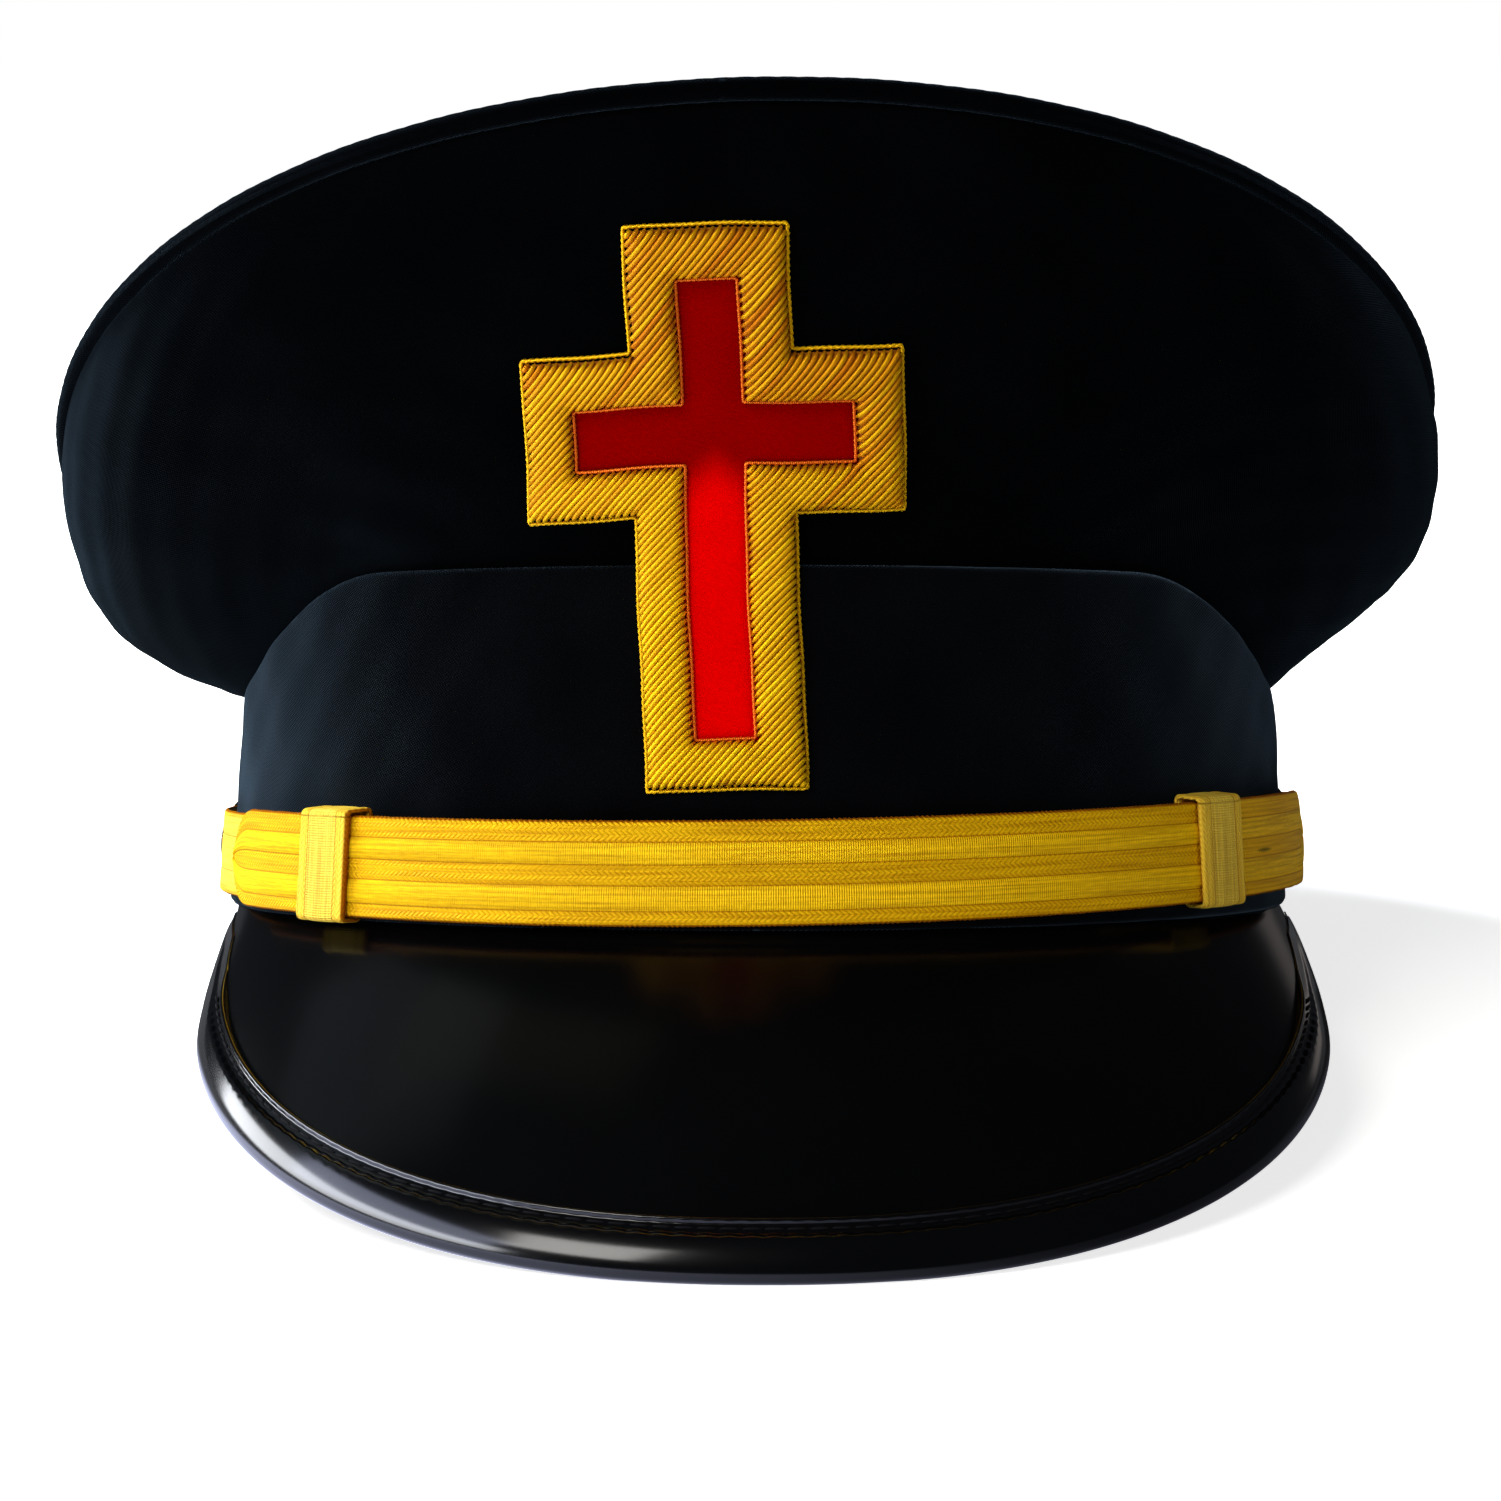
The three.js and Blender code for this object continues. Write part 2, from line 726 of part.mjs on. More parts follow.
// The table touches the binding in front and the band behind. Its lean and distance are found by
// rolling the cap on these two, each pressed a little flat.
function tableUnder(frontPoints, backPoints) {
  const table = { lean: radians(10), distance: 0 };
  const heightOf = (point) => point.z * Math.cos(table.lean) - point.y * Math.sin(table.lean);
  const lowest = (points) => points.reduce((a, b) => (heightOf(b) < heightOf(a) ? b : a));
  for (let round = 0; round < REST.rounds; round += 1) {
    const front = lowest(frontPoints);
    const back = lowest(backPoints);
    const fall = back.z + REST.backSink - front.z - REST.frontSink;
    table.lean = Math.atan2(fall, back.y - front.y);
    table.distance = heightOf(back) + REST.backSink * Math.cos(table.lean);
  }
  return table;
}

function pressFlat(sections, table) {
  const up = new THREE.Vector3(0, -Math.sin(table.lean), Math.cos(table.lean));
  for (const point of sections.flat()) {
    const under = table.distance - point.dot(up);
    if (under > 0) {
      point.addScaledVector(up, under);
    }
  }
  return sections;
}

// Assembly

function plainMaterial(colour, roughness, metalness) {
  return new THREE.MeshStandardMaterial({ color: colour, roughness, metalness });
}

const MATERIALS = {
  cloth: () => plainMaterial(COLOURS.cloth, 0.95, 0),
  patent: () => plainMaterial(COLOURS.patent, 0.12, 0),
  lace: () => plainMaterial(COLOURS.lace, 0.5, 0.4),
  bullion: () => plainMaterial(COLOURS.bullion, 0.4, 0.7),
  red: () => plainMaterial(COLOURS.red, 0.6, 0),
  gilt: () => plainMaterial(COLOURS.gilt, 0.25, 1),
};

function namedMesh(name, geometry, material) {
  const mesh = new THREE.Mesh(geometry, material());
  mesh.name = name;
  return mesh;
}

function buildCap() {
  const band = bandSections();
  const binding = bindingSections();
  const table = tableUnder(binding.flat(), band.flat());
  pressFlat(band, table);
  pressFlat(binding, table);
  const under = {
    start: -STRAP.underEnd,
    end: STRAP.underEnd,
    out: STRAP.underOut,
    wall: STRAP.underWall,
    inset: STRAP.underInset,
  };
  const front = {
    start: STRAP.leftTip,
    end: STRAP.rightTip,
    out: STRAP.frontOut,
    wall: STRAP.frontWall,
    inset: 0,
  };
  const tilted = new THREE.Group();
  tilted.add(
    namedMesh('crown_top', crownTopGeometry(), MATERIALS.cloth),
    namedMesh('crown_welt', sweptBody(crownWeltSections(), true), MATERIALS.cloth),
    namedMesh('crown_side', sweptBody(crownSideSections(), true), MATERIALS.cloth),
    namedMesh('band', sweptBody(band, true), MATERIALS.cloth),
    namedMesh('peak', sweptBody(peakSections(), false), MATERIALS.patent),
    namedMesh('peak_binding', sweptBody(binding, false, BINDING.outerPoints), MATERIALS.patent),
    namedMesh('strap_under', sweptBody(strapSections(under), false), MATERIALS.lace),
    namedMesh('strap_front', sweptBody(strapSections(front), false), MATERIALS.lace),
    namedMesh('slide_left', sweptBody(slideSections(SLIDE.leftAzimuth), true), MATERIALS.lace),
    namedMesh('slide_right', sweptBody(slideSections(SLIDE.rightAzimuth), true), MATERIALS.lace),
    buttonMesh('button_left', -1),
    buttonMesh('button_right', 1),
    namedMesh('cross_border', sweptBody(crossBorderSections(), true), MATERIALS.bullion),
    namedMesh('cross_field', crossFieldGeometry(), MATERIALS.red),
  );
  tilted.rotation.x = -table.lean;
  const cap = new THREE.Group();
  cap.add(tilted);
  const box = new THREE.Box3().setFromObject(cap, true);
  tilted.position.set(-(box.min.x + box.max.x) / 2, -(box.min.y + box.max.y) / 2, -box.min.z);
  return cap;
}

export default buildCap();
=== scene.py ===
import math
import bpy
import numpy as np
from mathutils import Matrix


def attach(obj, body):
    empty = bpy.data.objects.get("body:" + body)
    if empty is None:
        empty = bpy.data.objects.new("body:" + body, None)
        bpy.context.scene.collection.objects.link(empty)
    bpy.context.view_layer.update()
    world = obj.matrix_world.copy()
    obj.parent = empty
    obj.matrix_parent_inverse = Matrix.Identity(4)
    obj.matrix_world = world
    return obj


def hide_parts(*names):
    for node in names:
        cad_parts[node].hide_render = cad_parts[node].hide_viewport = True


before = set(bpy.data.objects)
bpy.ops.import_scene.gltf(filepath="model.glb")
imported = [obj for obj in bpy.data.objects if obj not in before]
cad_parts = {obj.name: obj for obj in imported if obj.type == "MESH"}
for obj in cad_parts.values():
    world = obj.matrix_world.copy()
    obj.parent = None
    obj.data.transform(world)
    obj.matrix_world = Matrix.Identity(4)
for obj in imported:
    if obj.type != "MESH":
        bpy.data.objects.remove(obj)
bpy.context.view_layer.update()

# Studio.
# The cap lies by itself on a plain pale table, seen level with its band from the front. One large
# soft light stands at the left in front, and a weak one at the right. The others brush the left side
# or show in the gloss of the peak.

CAMERA_PLACE = (0.0, -0.6199, 0.1615)
CAMERA_DOWN = math.radians(10.8)
PHOTO_SIDE = 1501
FOCAL_PIXELS = 3874
SENSOR = 36.0
TABLE_HALF = 12.0
TABLE_GLOW = 0.75
TABLE_MIRRORED = 4.0
CAP_MIDDLE = (0, 0, 0.05)
PEAK_MIDDLE = (0, -0.1, 0.03)
# Name, place, aim, power, size, colour, and whether gloss mirrors it and matt faces scatter it.
LIGHTS = [
    ("key", (-0.62, -1.0, 0.95), CAP_MIDDLE, 10.8, (0.6, 0.6), (1.0, 0.98, 0.94), True, True),
    ("fill", (1.0, -1.0, 0.35), CAP_MIDDLE, 3.1, (0.5, 0.5), (1.0, 0.99, 0.96), False, True),
    ("side", (-0.86, 0.56, 0.83), CAP_MIDDLE, 46, (0.5, 0.5), (0.9, 0.96, 1.0), False, True),
    ("glint", (-1.0, -0.1, 0.25), (0, -0.05, 0.03), 20, (1.8, 0.3), (0.92, 0.95, 1.0), True, False),
    ("rim glow", (-0.88, -0.3, 0.43), (-0.05, -0.1, 0.02), 6.0, (0.95, 0.45), (0.7, 0.76, 1.0), True, False),
    ("edge glow", (0.62, 0.8, 0.09), (0.08, -0.06, 0.03), 0.07, (0.4, 0.12), (1.0, 0.9, 0.84), True, False),
    ("blue haze", (-0.82, 0.42, 0.89), PEAK_MIDDLE, 0.33, (0.6, 0.7), (0.75, 0.9, 1.0), True, True),
    ("olive haze", (-0.49, 0.29, 1.16), PEAK_MIDDLE, 0.18, (0.45, 0.8), (1.0, 0.95, 0.5), True, True),
]


def outward(points, groups):
    """Turns every face round if the signed volume of the closed surface is negative."""
    volume = 0.0
    for group in groups:
        first = points[group[:, 0]]
        for k in range(1, group.shape[1] - 1):
            corner = np.cross(points[group[:, k]], points[group[:, k + 1]])
            volume += np.einsum("ij,ij->", first, corner)
    return groups if volume > 0 else [group[:, ::-1] for group in groups]


def mesh_piece(name, points, groups, material, uv=None, sharp=None, closed=True):
    """A mesh object at the origin, from corner points and groups of faces with equal corner counts."""
    points = np.asarray(points, float).reshape(-1, 3)
    groups = outward(points, groups) if closed else groups
    corners = np.concatenate([group.ravel() for group in groups]).astype(np.int32)
    sizes = np.concatenate([np.full(len(group), group.shape[1]) for group in groups]).astype(np.int32)
    mesh = bpy.data.meshes.new(name)
    mesh.vertices.add(len(points))
    mesh.vertices.foreach_set("co", points.ravel())
    mesh.loops.add(len(corners))
    mesh.loops.foreach_set("vertex_index", corners)
    mesh.polygons.add(len(sizes))
    mesh.polygons.foreach_set("loop_start", np.cumsum(sizes) - sizes)
    mesh.polygons.foreach_set("loop_total", sizes)
    mesh.update(calc_edges=True)
    mesh.shade_smooth()
    if sharp is not None:
        mesh.set_sharp_from_angle(angle=math.radians(sharp))
    if uv is not None:
        layer = mesh.uv_layers.new(name="UVMap")
        layer.data.foreach_set("uv", np.asarray(uv, float).reshape(-1, 2)[corners].ravel())
    mesh.materials.append(material)
    piece = bpy.data.objects.new(name, mesh)
    bpy.context.scene.collection.objects.link(piece)
    return piece


def grid_faces(rows, columns, rows_join, columns_join):
    """The four-cornered faces of a grid of points. A joined direction runs round from last to first."""
    i = np.arange(rows if rows_join else rows - 1)[:, None]
    j = np.arange(columns if columns_join else columns - 1)[None, :]
    below, beside = (i + 1) % rows, (j + 1) % columns
    corners = [i * columns + j, below * columns + j, below * columns + beside, i * columns + beside]
    return np.stack([np.broadcast_to(c, (i.size, j.size)) for c in corners], -1).reshape(-1, 4)


def feed(tree, node, inputs):
    """Joins each input of a node to another node's output, or gives it a number or a colour."""
    for label, value in inputs.items():
        socket = node.inputs[label]
        if isinstance(value, bpy.types.NodeSocket):
            tree.links.new(value, socket)
        else:
            socket.default_value = (*value, 1) if socket.type == "RGBA" else value


def added(tree, kind, output, inputs, **settings):
    """A new shader node with its settings and inputs. Returns one output, or all of them for None."""
    node = tree.nodes.new("ShaderNode" + kind)
    for setting, value in settings.items():
        setattr(node, setting, value)
    feed(tree, node, inputs)
    return node.outputs if output is None else node.outputs[output]


def maths(tree, operation, *values):
    """The result of one operation on numbers and outputs."""
    return added(tree, "Math", 0, dict(enumerate(values)), operation=operation)


def ramp(tree, value, start, end, first=0.0, last=1.0, kind="SMOOTHSTEP"):
    """Goes from first to last while the value goes from start to end, and is level outside."""
    inputs = {"Value": value, "From Min": start, "From Max": end, "To Min": first, "To Max": last}
    return added(tree, "MapRange", "Result", inputs, interpolation_type=kind)


def blend(tree, factor, first, second, kind="MIX"):
    """A colour that goes from the first to the second with the factor."""
    inputs = {"Factor": factor, "A": first, "B": second}
    return added(tree, "Mix", "Result", inputs, data_type="RGBA", blend_type=kind)


def new_material(name):
    """A material with one Principled shader, and its node tree."""
    material = bpy.data.materials.new(name)
    material.use_nodes = True
    return material, material.node_tree


def dressed(material, looks):
    """The material, once its Principled shader is fed."""
    tree = material.node_tree
    feed(tree, tree.nodes["Principled BSDF"], looks)
    return material


def pale_table():
    """A level floor. To the camera it glows a little, and more the further it is from the cap, so
    that it stays an even white under small lights. What mirrors it sees a bright patch on the left
    near the cap, and a dark floor elsewhere."""
    edge = np.array([-TABLE_HALF, TABLE_HALF])
    points = np.stack(np.broadcast_arrays(edge[:, None], edge, 0), -1)
    material, tree = new_material("pale_table")
    place = added(tree, "TexCoord", "Object", {})
    rays = added(tree, "LightPath", None, {})
    axes = added(tree, "SeparateXYZ", None, {0: place})
    distance = added(tree, "VectorMath", "Value", {0: place}, operation="LENGTH")
    mirrored = rays["Is Glossy Ray"]
    glow = maths(tree, "MULTIPLY", ramp(tree, distance, 0.1, 0.75, TABLE_GLOW, 1.0), rays["Is Camera Ray"])
    near = ramp(tree, distance, 0.4, 0.8, 1.0, 0.0)
    in_front = ramp(tree, axes["Y"], 0.0, -0.07)
    on_left = ramp(tree, axes["X"], 0.06, -0.14, 0.1, TABLE_MIRRORED)
    patch = maths(tree, "MULTIPLY", on_left, maths(tree, "MULTIPLY", near, in_front))
    dressed(material, {
        "Base Color": blend(tree, mirrored, (0.92, 0.92, 0.925), (0.06, 0.06, 0.065)),
        "Emission Color": blend(tree, mirrored, (1, 1, 1), (0.68, 0.72, 1)),
        "Emission Strength": maths(tree, "MULTIPLY_ADD", patch, mirrored, glow),
        "Roughness": 0.8,
        "Specular IOR Level": 0.1,
    })
    table = mesh_piece("table", points, [grid_faces(2, 2, False, False)], material, closed=False)


def soft_light(name, place, aim, power, size, colour, mirrored, scattered):
    """An area light at a place, turned so that its face looks at another point."""
    lamp = bpy.data.lights.new(name, "AREA")
    lamp.energy = power
    lamp.shape = "RECTANGLE"
    lamp.size, lamp.size_y = size
    lamp.color = colour
    light = bpy.data.objects.new(name, lamp)
    from_aim = np.array(place) - np.array(aim)
    spin = math.atan2(from_aim[0], -from_aim[1])
    lift = math.atan2(from_aim[2], math.hypot(from_aim[0], from_aim[1]))
    light.location = place
    light.rotation_euler = (math.pi / 2 - lift, 0, spin)
    light.visible_glossy = mirrored
    light.visible_diffuse = scattered
    bpy.context.scene.collection.objects.link(light)


def photo_camera():
    """The photograph's camera: level with the band, turned down by the lean of the resting cap."""
    data = bpy.data.cameras.new("camera")
    data.sensor_width = SENSOR
    data.lens = FOCAL_PIXELS / PHOTO_SIDE * SENSOR
    data.clip_start = 0.01
    camera = bpy.data.objects.new("camera", data)
    camera.location = CAMERA_PLACE
    camera.rotation_euler = (math.pi / 2 - CAMERA_DOWN, 0, 0)
    bpy.context.scene.collection.objects.link(camera)
    bpy.context.scene.camera = camera


def dim_room():
    """White to the camera, and nearly dark to everything else, so that the peak mirrors little."""
    room = bpy.data.worlds.new("room")
    room.use_nodes = True
    tree = room.node_tree
    seen = added(tree, "LightPath", "Is Camera Ray", {})
    feed(tree, tree.nodes["Background"], {"Color": blend(tree, seen, (0.028, 0.03, 0.036), (1, 1, 1))})
    bpy.context.scene.world = room


photo_camera()
pale_table()
dim_room()
for row in LIGHTS:
    soft_light(*row)
bpy.context.scene.view_settings.view_transform = "Standard"

# Band.
# An upright oval band of black wool cloth round the head, high in front and low behind. Its cloth
# is turned over a stiff core at both edges and sewn together in a seam at the back.

MM = 0.001
CAP_LEAN = math.radians(10.366)
CAP_PLACE = np.array([1.2822, 4.3581, 17.6399]) * MM
BAND_HALF_WIDTH = 86 * MM
BAND_HALF_LENGTH = 103.5 * MM
BAND_TAPER = 0.064
BAND_WALL = 2.2 * MM
BAND_FRONT_HEIGHT = 51 * MM
BAND_SIDE_HEIGHT = 32 * MM
BAND_FALL = (math.radians(42), math.radians(86))
BAND_FOLD = 0.95 * MM
BAND_COLUMNS = 540
BAND_SLACK = 0.34 * MM
BAND_SEAM = (0.4 * MM, 0.5 * MM)
# Waves of the stretched cloth: turns round the cap, waves up it, and where each starts.
SLACK_WAVES = [(7, 3.1, 0.4), (13, -5.3, 2.1), (19, 7.9, 4.4), (29, 4.7, 1.3), (41, -9.7, 5.2)]
THREAD_PITCH = 0.55
THREAD_DEPTH = 0.06 * MM


def full_turn(count):
    """Equal steps once round, without the last one, which is the first again."""
    return np.linspace(0, 2 * math.pi, count, endpoint=False)


def laid_down(points):
    """Leans the upright cap back about x, moves it to its place and presses flat what the table meets."""
    x, y, z = np.moveaxis(np.asarray(points, float), -1, 0)
    leaned = np.stack([
        x,
        y * math.cos(CAP_LEAN) + z * math.sin(CAP_LEAN),
        z * math.cos(CAP_LEAN) - y * math.sin(CAP_LEAN),
    ], -1) + CAP_PLACE
    leaned[..., 2] = np.maximum(leaned[..., 2], 0)
    return leaned


def smooth_step(value, start, end):
    """Runs from 0 at start to 1 at end along 3 s squared minus 2 s cubed."""
    s = np.clip((value - start) / (end - start), 0, 1)
    return s * s * (3 - 2 * s)


def band_point(azimuth, height, out):
    """Oval: x = (half width + out - taper h) sin a, y = -(half length + out - taper h) cos a, z = h."""
    azimuth, height, out = np.broadcast_arrays(azimuth, height, out)
    across = BAND_HALF_WIDTH + out - BAND_TAPER * height
    along = BAND_HALF_LENGTH + out - BAND_TAPER * height
    return np.stack([across * np.sin(azimuth), -along * np.cos(azimuth), height], -1)


def band_top(azimuth):
    """The upper edge's height: high up to the fall's start, low from its end."""
    from_front = np.arccos(np.cos(azimuth))
    fall = smooth_step(from_front, *BAND_FALL)
    return BAND_FRONT_HEIGHT + (BAND_SIDE_HEIGHT - BAND_FRONT_HEIGHT) * fall


def slack(azimuth, rise, depth):
    """Slow unevenness of stretched cloth: the mean of waves that all close round the cap."""
    total = sum(np.sin(turns * azimuth + rows * rise + start) for turns, rows, start in SLACK_WAVES)
    return depth * total / len(SLACK_WAVES)


def seam_dent(azimuth, place, radius, depth, half):
    """A sewn seam: a narrow bell-shaped dent with a low swell on each side of it."""
    away = (np.mod(azimuth - place + math.pi, 2 * math.pi) - math.pi) * radius / half
    return depth * (0.35 * np.exp(-((np.abs(away) - 2.4) / 1.2) ** 2) - np.exp(-away ** 2))


def flat_map(along, across):
    """Places on the flat piece, in millimetres, for its UV map."""
    return np.stack(np.broadcast_arrays(along, across), -1) / MM


def ring_faces(points):
    """The faces of a grid of points that closes both ways."""
    return [grid_faces(*points.shape[:2], True, True)]


def noise(tree, place, scale, detail):
    """Soft clouds between 0 and 1."""
    return added(tree, "TexNoise", "Fac", {"Vector": place, "Scale": scale, "Detail": detail})


def bump(tree, height, strength, depth):
    """The tilt that a height gives the surface."""
    return added(tree, "Bump", "Normal", {"Height": height, "Strength": strength, "Distance": depth})


def thread_waves():
    """Node group for woven cloth. The height is a twill of slanting threads, broken by a second set
    of threads and by noise. The tone is a slow cloudiness between 0 and 1."""
    group = bpy.data.node_groups.new("woven threads", "ShaderNodeTree")
    sockets = [("Vector", "INPUT", "Vector"), ("Pitch", "INPUT", "Float"), ("Cloud Scale", "INPUT", "Float"),
               ("Height", "OUTPUT", "Float"), ("Tone", "OUTPUT", "Float")]
    for label, way, kind in sockets:
        group.interface.new_socket(label, in_out=way, socket_type="NodeSocket" + kind)
    given = group.nodes.new("NodeGroupInput").outputs
    place = given["Vector"]

    def wave(direction):
        """A sine of the place along a direction, over the pitch."""
        along = added(group, "VectorMath", "Value", {0: place, 1: direction}, operation="DOT_PRODUCT")
        return maths(group, "SINE", maths(group, "DIVIDE", along, given["Pitch"]))

    slant = wave((2 * math.pi, 2 * math.pi, 0))
    cross = wave((-1.3 * math.pi, 3.1 * math.pi, 0))
    threads = maths(group, "ADD", slant, cross)
    feed(group, group.nodes.new("NodeGroupOutput"), {
        "Height": maths(group, "ADD", threads, noise(group, place, 2.2, 3)),
        "Tone": noise(group, place, given["Cloud Scale"], 2),
    })
    return group


WOVEN = thread_waves()


def woven_material(name, dark, light, pitch, depth, cloud_scale):
    """A cloth bumped by its threads, on a UV map in millimetres. Returns it, its node tree, and a
    colour that runs between two shades with the group's tone."""
    material, tree = new_material(name)
    inputs = {"Vector": added(tree, "UVMap", "UV", {}), "Pitch": pitch, "Cloud Scale": cloud_scale}
    threads = added(tree, "Group", None, inputs, node_tree=WOVEN)
    dressed(material, {"Normal": bump(tree, threads["Height"], 0.5, depth)})
    return material, tree, blend(tree, threads["Tone"], dark, light)


def black_wool(name, dark, light, fuzz):
    """Fine wool cloth: nearly black, matt, with a bluish fuzz that shows where it turns away."""
    material, tree, colour = woven_material(name, dark, light, THREAD_PITCH, THREAD_DEPTH, 0.05)
    return dressed(material, {
        "Base Color": colour,
        "Roughness": 0.85,
        "Specular IOR Level": 0.0,
        "Sheen Weight": fuzz,
        "Sheen Roughness": 0.3,
        "Sheen Tint": (0.45, 0.68, 0.95),
    })


# The band's cloth is lighter and fuzzier than the crown's: painted light, so that its left side shows lit
# while the crown above it stays black.
LIGHTER_BAND_WOOL = black_wool("band_wool_painted_light", (0.0006, 0.0007, 0.0009), (0.003, 0.0032, 0.004), 0.3)


def band_section(azimuth):
    """Goes up the outer face, over the upper fold, down the inner face and round the lower fold."""
    top = band_top(azimuth)
    fold = np.linspace(0, math.pi, 9)
    up = np.linspace(0, 1, 40)
    down = np.linspace(1, 0, 12)[1:-1]
    tall = top - 2 * BAND_FOLD
    height = np.concatenate([
        BAND_FOLD + up * tall,
        top - BAND_FOLD + BAND_FOLD * np.sin(fold[1:]),
        BAND_FOLD + down * tall,
        BAND_FOLD - BAND_FOLD * np.sin(fold[:-1]) + 0 * top,
    ], -1)
    half = BAND_WALL / 2
    out = np.concatenate([
        0 * up,
        -half + half * np.cos(fold[1:]),
        0 * down - BAND_WALL,
        -half - half * np.cos(fold[:-1]),
    ])
    return height, out


def make_band():
    """The section run round the oval, with slack in the outer face and a seam at the back."""
    azimuth = full_turn(BAND_COLUMNS)[:, None]
    height, out = band_section(azimuth)
    facing = smooth_step(out, -BAND_WALL / 2, 0)
    uneven = slack(azimuth, 2 * height / BAND_FRONT_HEIGHT, BAND_SLACK)
    uneven = uneven + seam_dent(azimuth, math.pi, BAND_HALF_WIDTH, *BAND_SEAM)
    points = band_point(azimuth, height, out + facing * uneven)
    uv = flat_map(azimuth * (BAND_HALF_WIDTH + BAND_HALF_LENGTH) / 2, height)
    piece = mesh_piece("band_cloth", laid_down(points), ring_faces(points), LIGHTER_BAND_WOOL, uv)
    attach(piece, "root")
    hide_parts("band")


make_band()

# Crown.
# A wide crown of the same cloth, made darker and less fuzzy than the band's as painted shade. The
# side wall rises from inside the band, bellies out past it and meets the oval top panel in a corded
# seam, high over the front and low behind.

CROWN_HALF_WIDTH = 110 * MM
CROWN_FRONT_REACH = 124 * MM
CROWN_BACK_REACH = 128 * MM
CROWN_FRONT_HEIGHT = 113.2 * MM
CROWN_SIDE_HEIGHT = 70 * MM
CROWN_BACK_HEIGHT = 60 * MM
CROWN_BROW_FALL = 10.4 * MM
CROWN_SIDE_LEAN = 0.038
CROWN_SHIFT = (1.5 * MM, 3 * MM)
CROWN_WALL = 1.8 * MM
CROWN_TUCK = 3 * MM
CROWN_TOP_RISE = 9 * MM
CROWN_COLUMNS = 720
CROWN_TOP_COLUMNS = 360
CROWN_SLACK = 0.4 * MM
CROWN_TOP_SLACK = 0.5 * MM
CROWN_SEAMS = (math.pi / 2, math.pi, 3 * math.pi / 2)
UP = np.array([0, 0, 1.0])
CROWN_SEAM = (0.45 * MM, 0.55 * MM)
SEWING_GAP = 0.3 * MM
WALL_FRONT = {"foot_out": 2, "foot_up": 22, "head_out": -5, "head_down": 24}
WALL_SIDE = {"foot_out": 16.7, "foot_up": 10.8, "head_out": 6, "head_down": 19.4}
WALL_BACK = {"foot_out": 12, "foot_up": 6, "head_out": 5, "head_down": 10}
WALL_RIGHT_MORE = {"foot_out": -1.9, "foot_up": 5.7, "head_out": 2.2, "head_down": 1.7}
WALL_ROWS = 56
WALL_END = 0.985
# Only between these shares of the way up is the wall fully slack.
WALL_SLACK_FROM, WALL_SLACK_TO = 0.12, 0.9
WELT_RADIUS = 1.6 * MM
WELT_SIDES = 14
# Puckers of the welt: turns round the cap, turns round the cord, and depth as a share of its radius.
WELT_PUCKERS = [(240, 2, 0.02), (37, 1, 0.015)]
# The crown's cloth is darker and less fuzzy than the band's: painted shade.
SHADED_CROWN_WOOL = black_wool("crown_wool_painted_shade", (0.0003, 0.0004, 0.0006), (0.0014, 0.0016, 0.0021), 0.07)


def crown_reach(azimuth):
    """The top panel's reach from its centre: one in the front half, another behind."""
    return np.where(np.cos(azimuth) > 0, CROWN_FRONT_REACH, CROWN_BACK_REACH)


def crown_top_point(azimuth, share):
    """The top panel at a share of the way from its centre to the seam. Its height is a cubic in the
    share forward, leans to one side, and domes by 1 minus share squared."""
    forward = np.cos(azimuth) * share
    x = CROWN_HALF_WIDTH * np.sin(azimuth) * share
    bend = (CROWN_FRONT_HEIGHT + CROWN_BACK_HEIGHT) / 2 - CROWN_SIDE_HEIGHT
    slope = (CROWN_FRONT_HEIGHT - CROWN_BACK_HEIGHT) / 2 + CROWN_BROW_FALL
    seam = CROWN_SIDE_HEIGHT + slope * forward + bend * forward ** 2 - CROWN_BROW_FALL * forward ** 3
    height = seam + CROWN_SIDE_LEAN * x + CROWN_TOP_RISE * (1 - share ** 2)
    x = x - CROWN_SHIFT[0] - CROWN_SHIFT[1] * forward
    return np.stack(np.broadcast_arrays(x, -crown_reach(azimuth) * forward, height), -1)


def wall_shape(azimuth, column):
    """A handle's length: the side's, mixed towards the front's or the back's by cosine squared."""
    end = np.where(np.cos(azimuth) > 0, WALL_FRONT[column], WALL_BACK[column])
    side = WALL_SIDE[column] + WALL_RIGHT_MORE[column] * np.sin(azimuth)
    return (side + (end - side) * np.cos(azimuth) ** 2)[..., None] * MM


def unit(vectors):
    """Vectors of length 1."""
    return vectors / np.linalg.norm(vectors, axis=-1, keepdims=True)


def outward_direction(azimuth):
    """The level way out: x and y by sine and cosine, each over the oval's own reach."""
    level = np.stack([np.sin(azimuth) / CROWN_HALF_WIDTH, -np.cos(azimuth) / crown_reach(azimuth)], -1)
    return np.concatenate([unit(level), np.zeros_like(level[..., :1])], -1)


def crown_face(azimuth, rise):
    """The side wall's outer face: a cubic curve with two handles, from the band's edge to the seam."""
    azimuth, rise = np.broadcast_arrays(azimuth, rise)
    out = outward_direction(azimuth)
    top = band_top(azimuth)
    foot = band_point(azimuth, top + 1.4 * SEWING_GAP, -BAND_WALL - SEWING_GAP)
    head = crown_top_point(azimuth, 1.0)
    foot_handle = band_point(azimuth, top, 0)
    foot_handle = foot_handle + out * wall_shape(azimuth, "foot_out") + UP * wall_shape(azimuth, "foot_up")
    head_handle = head + out * wall_shape(azimuth, "head_out") - UP * wall_shape(azimuth, "head_down")
    s = rise[..., None]
    return (foot * (1 - s) ** 3 + foot_handle * 3 * (1 - s) ** 2 * s
            + head_handle * 3 * (1 - s) * s ** 2 + head * s ** 3)


def surface_normal(surface, first, second, step=1e-4):
    """The unit normal of a surface of two measures, from small steps each way along both."""
    along = surface(first + step, second) - surface(first - step, second)
    up = surface(first, second + step) - surface(first, second - step)
    return unit(np.cross(along, up))


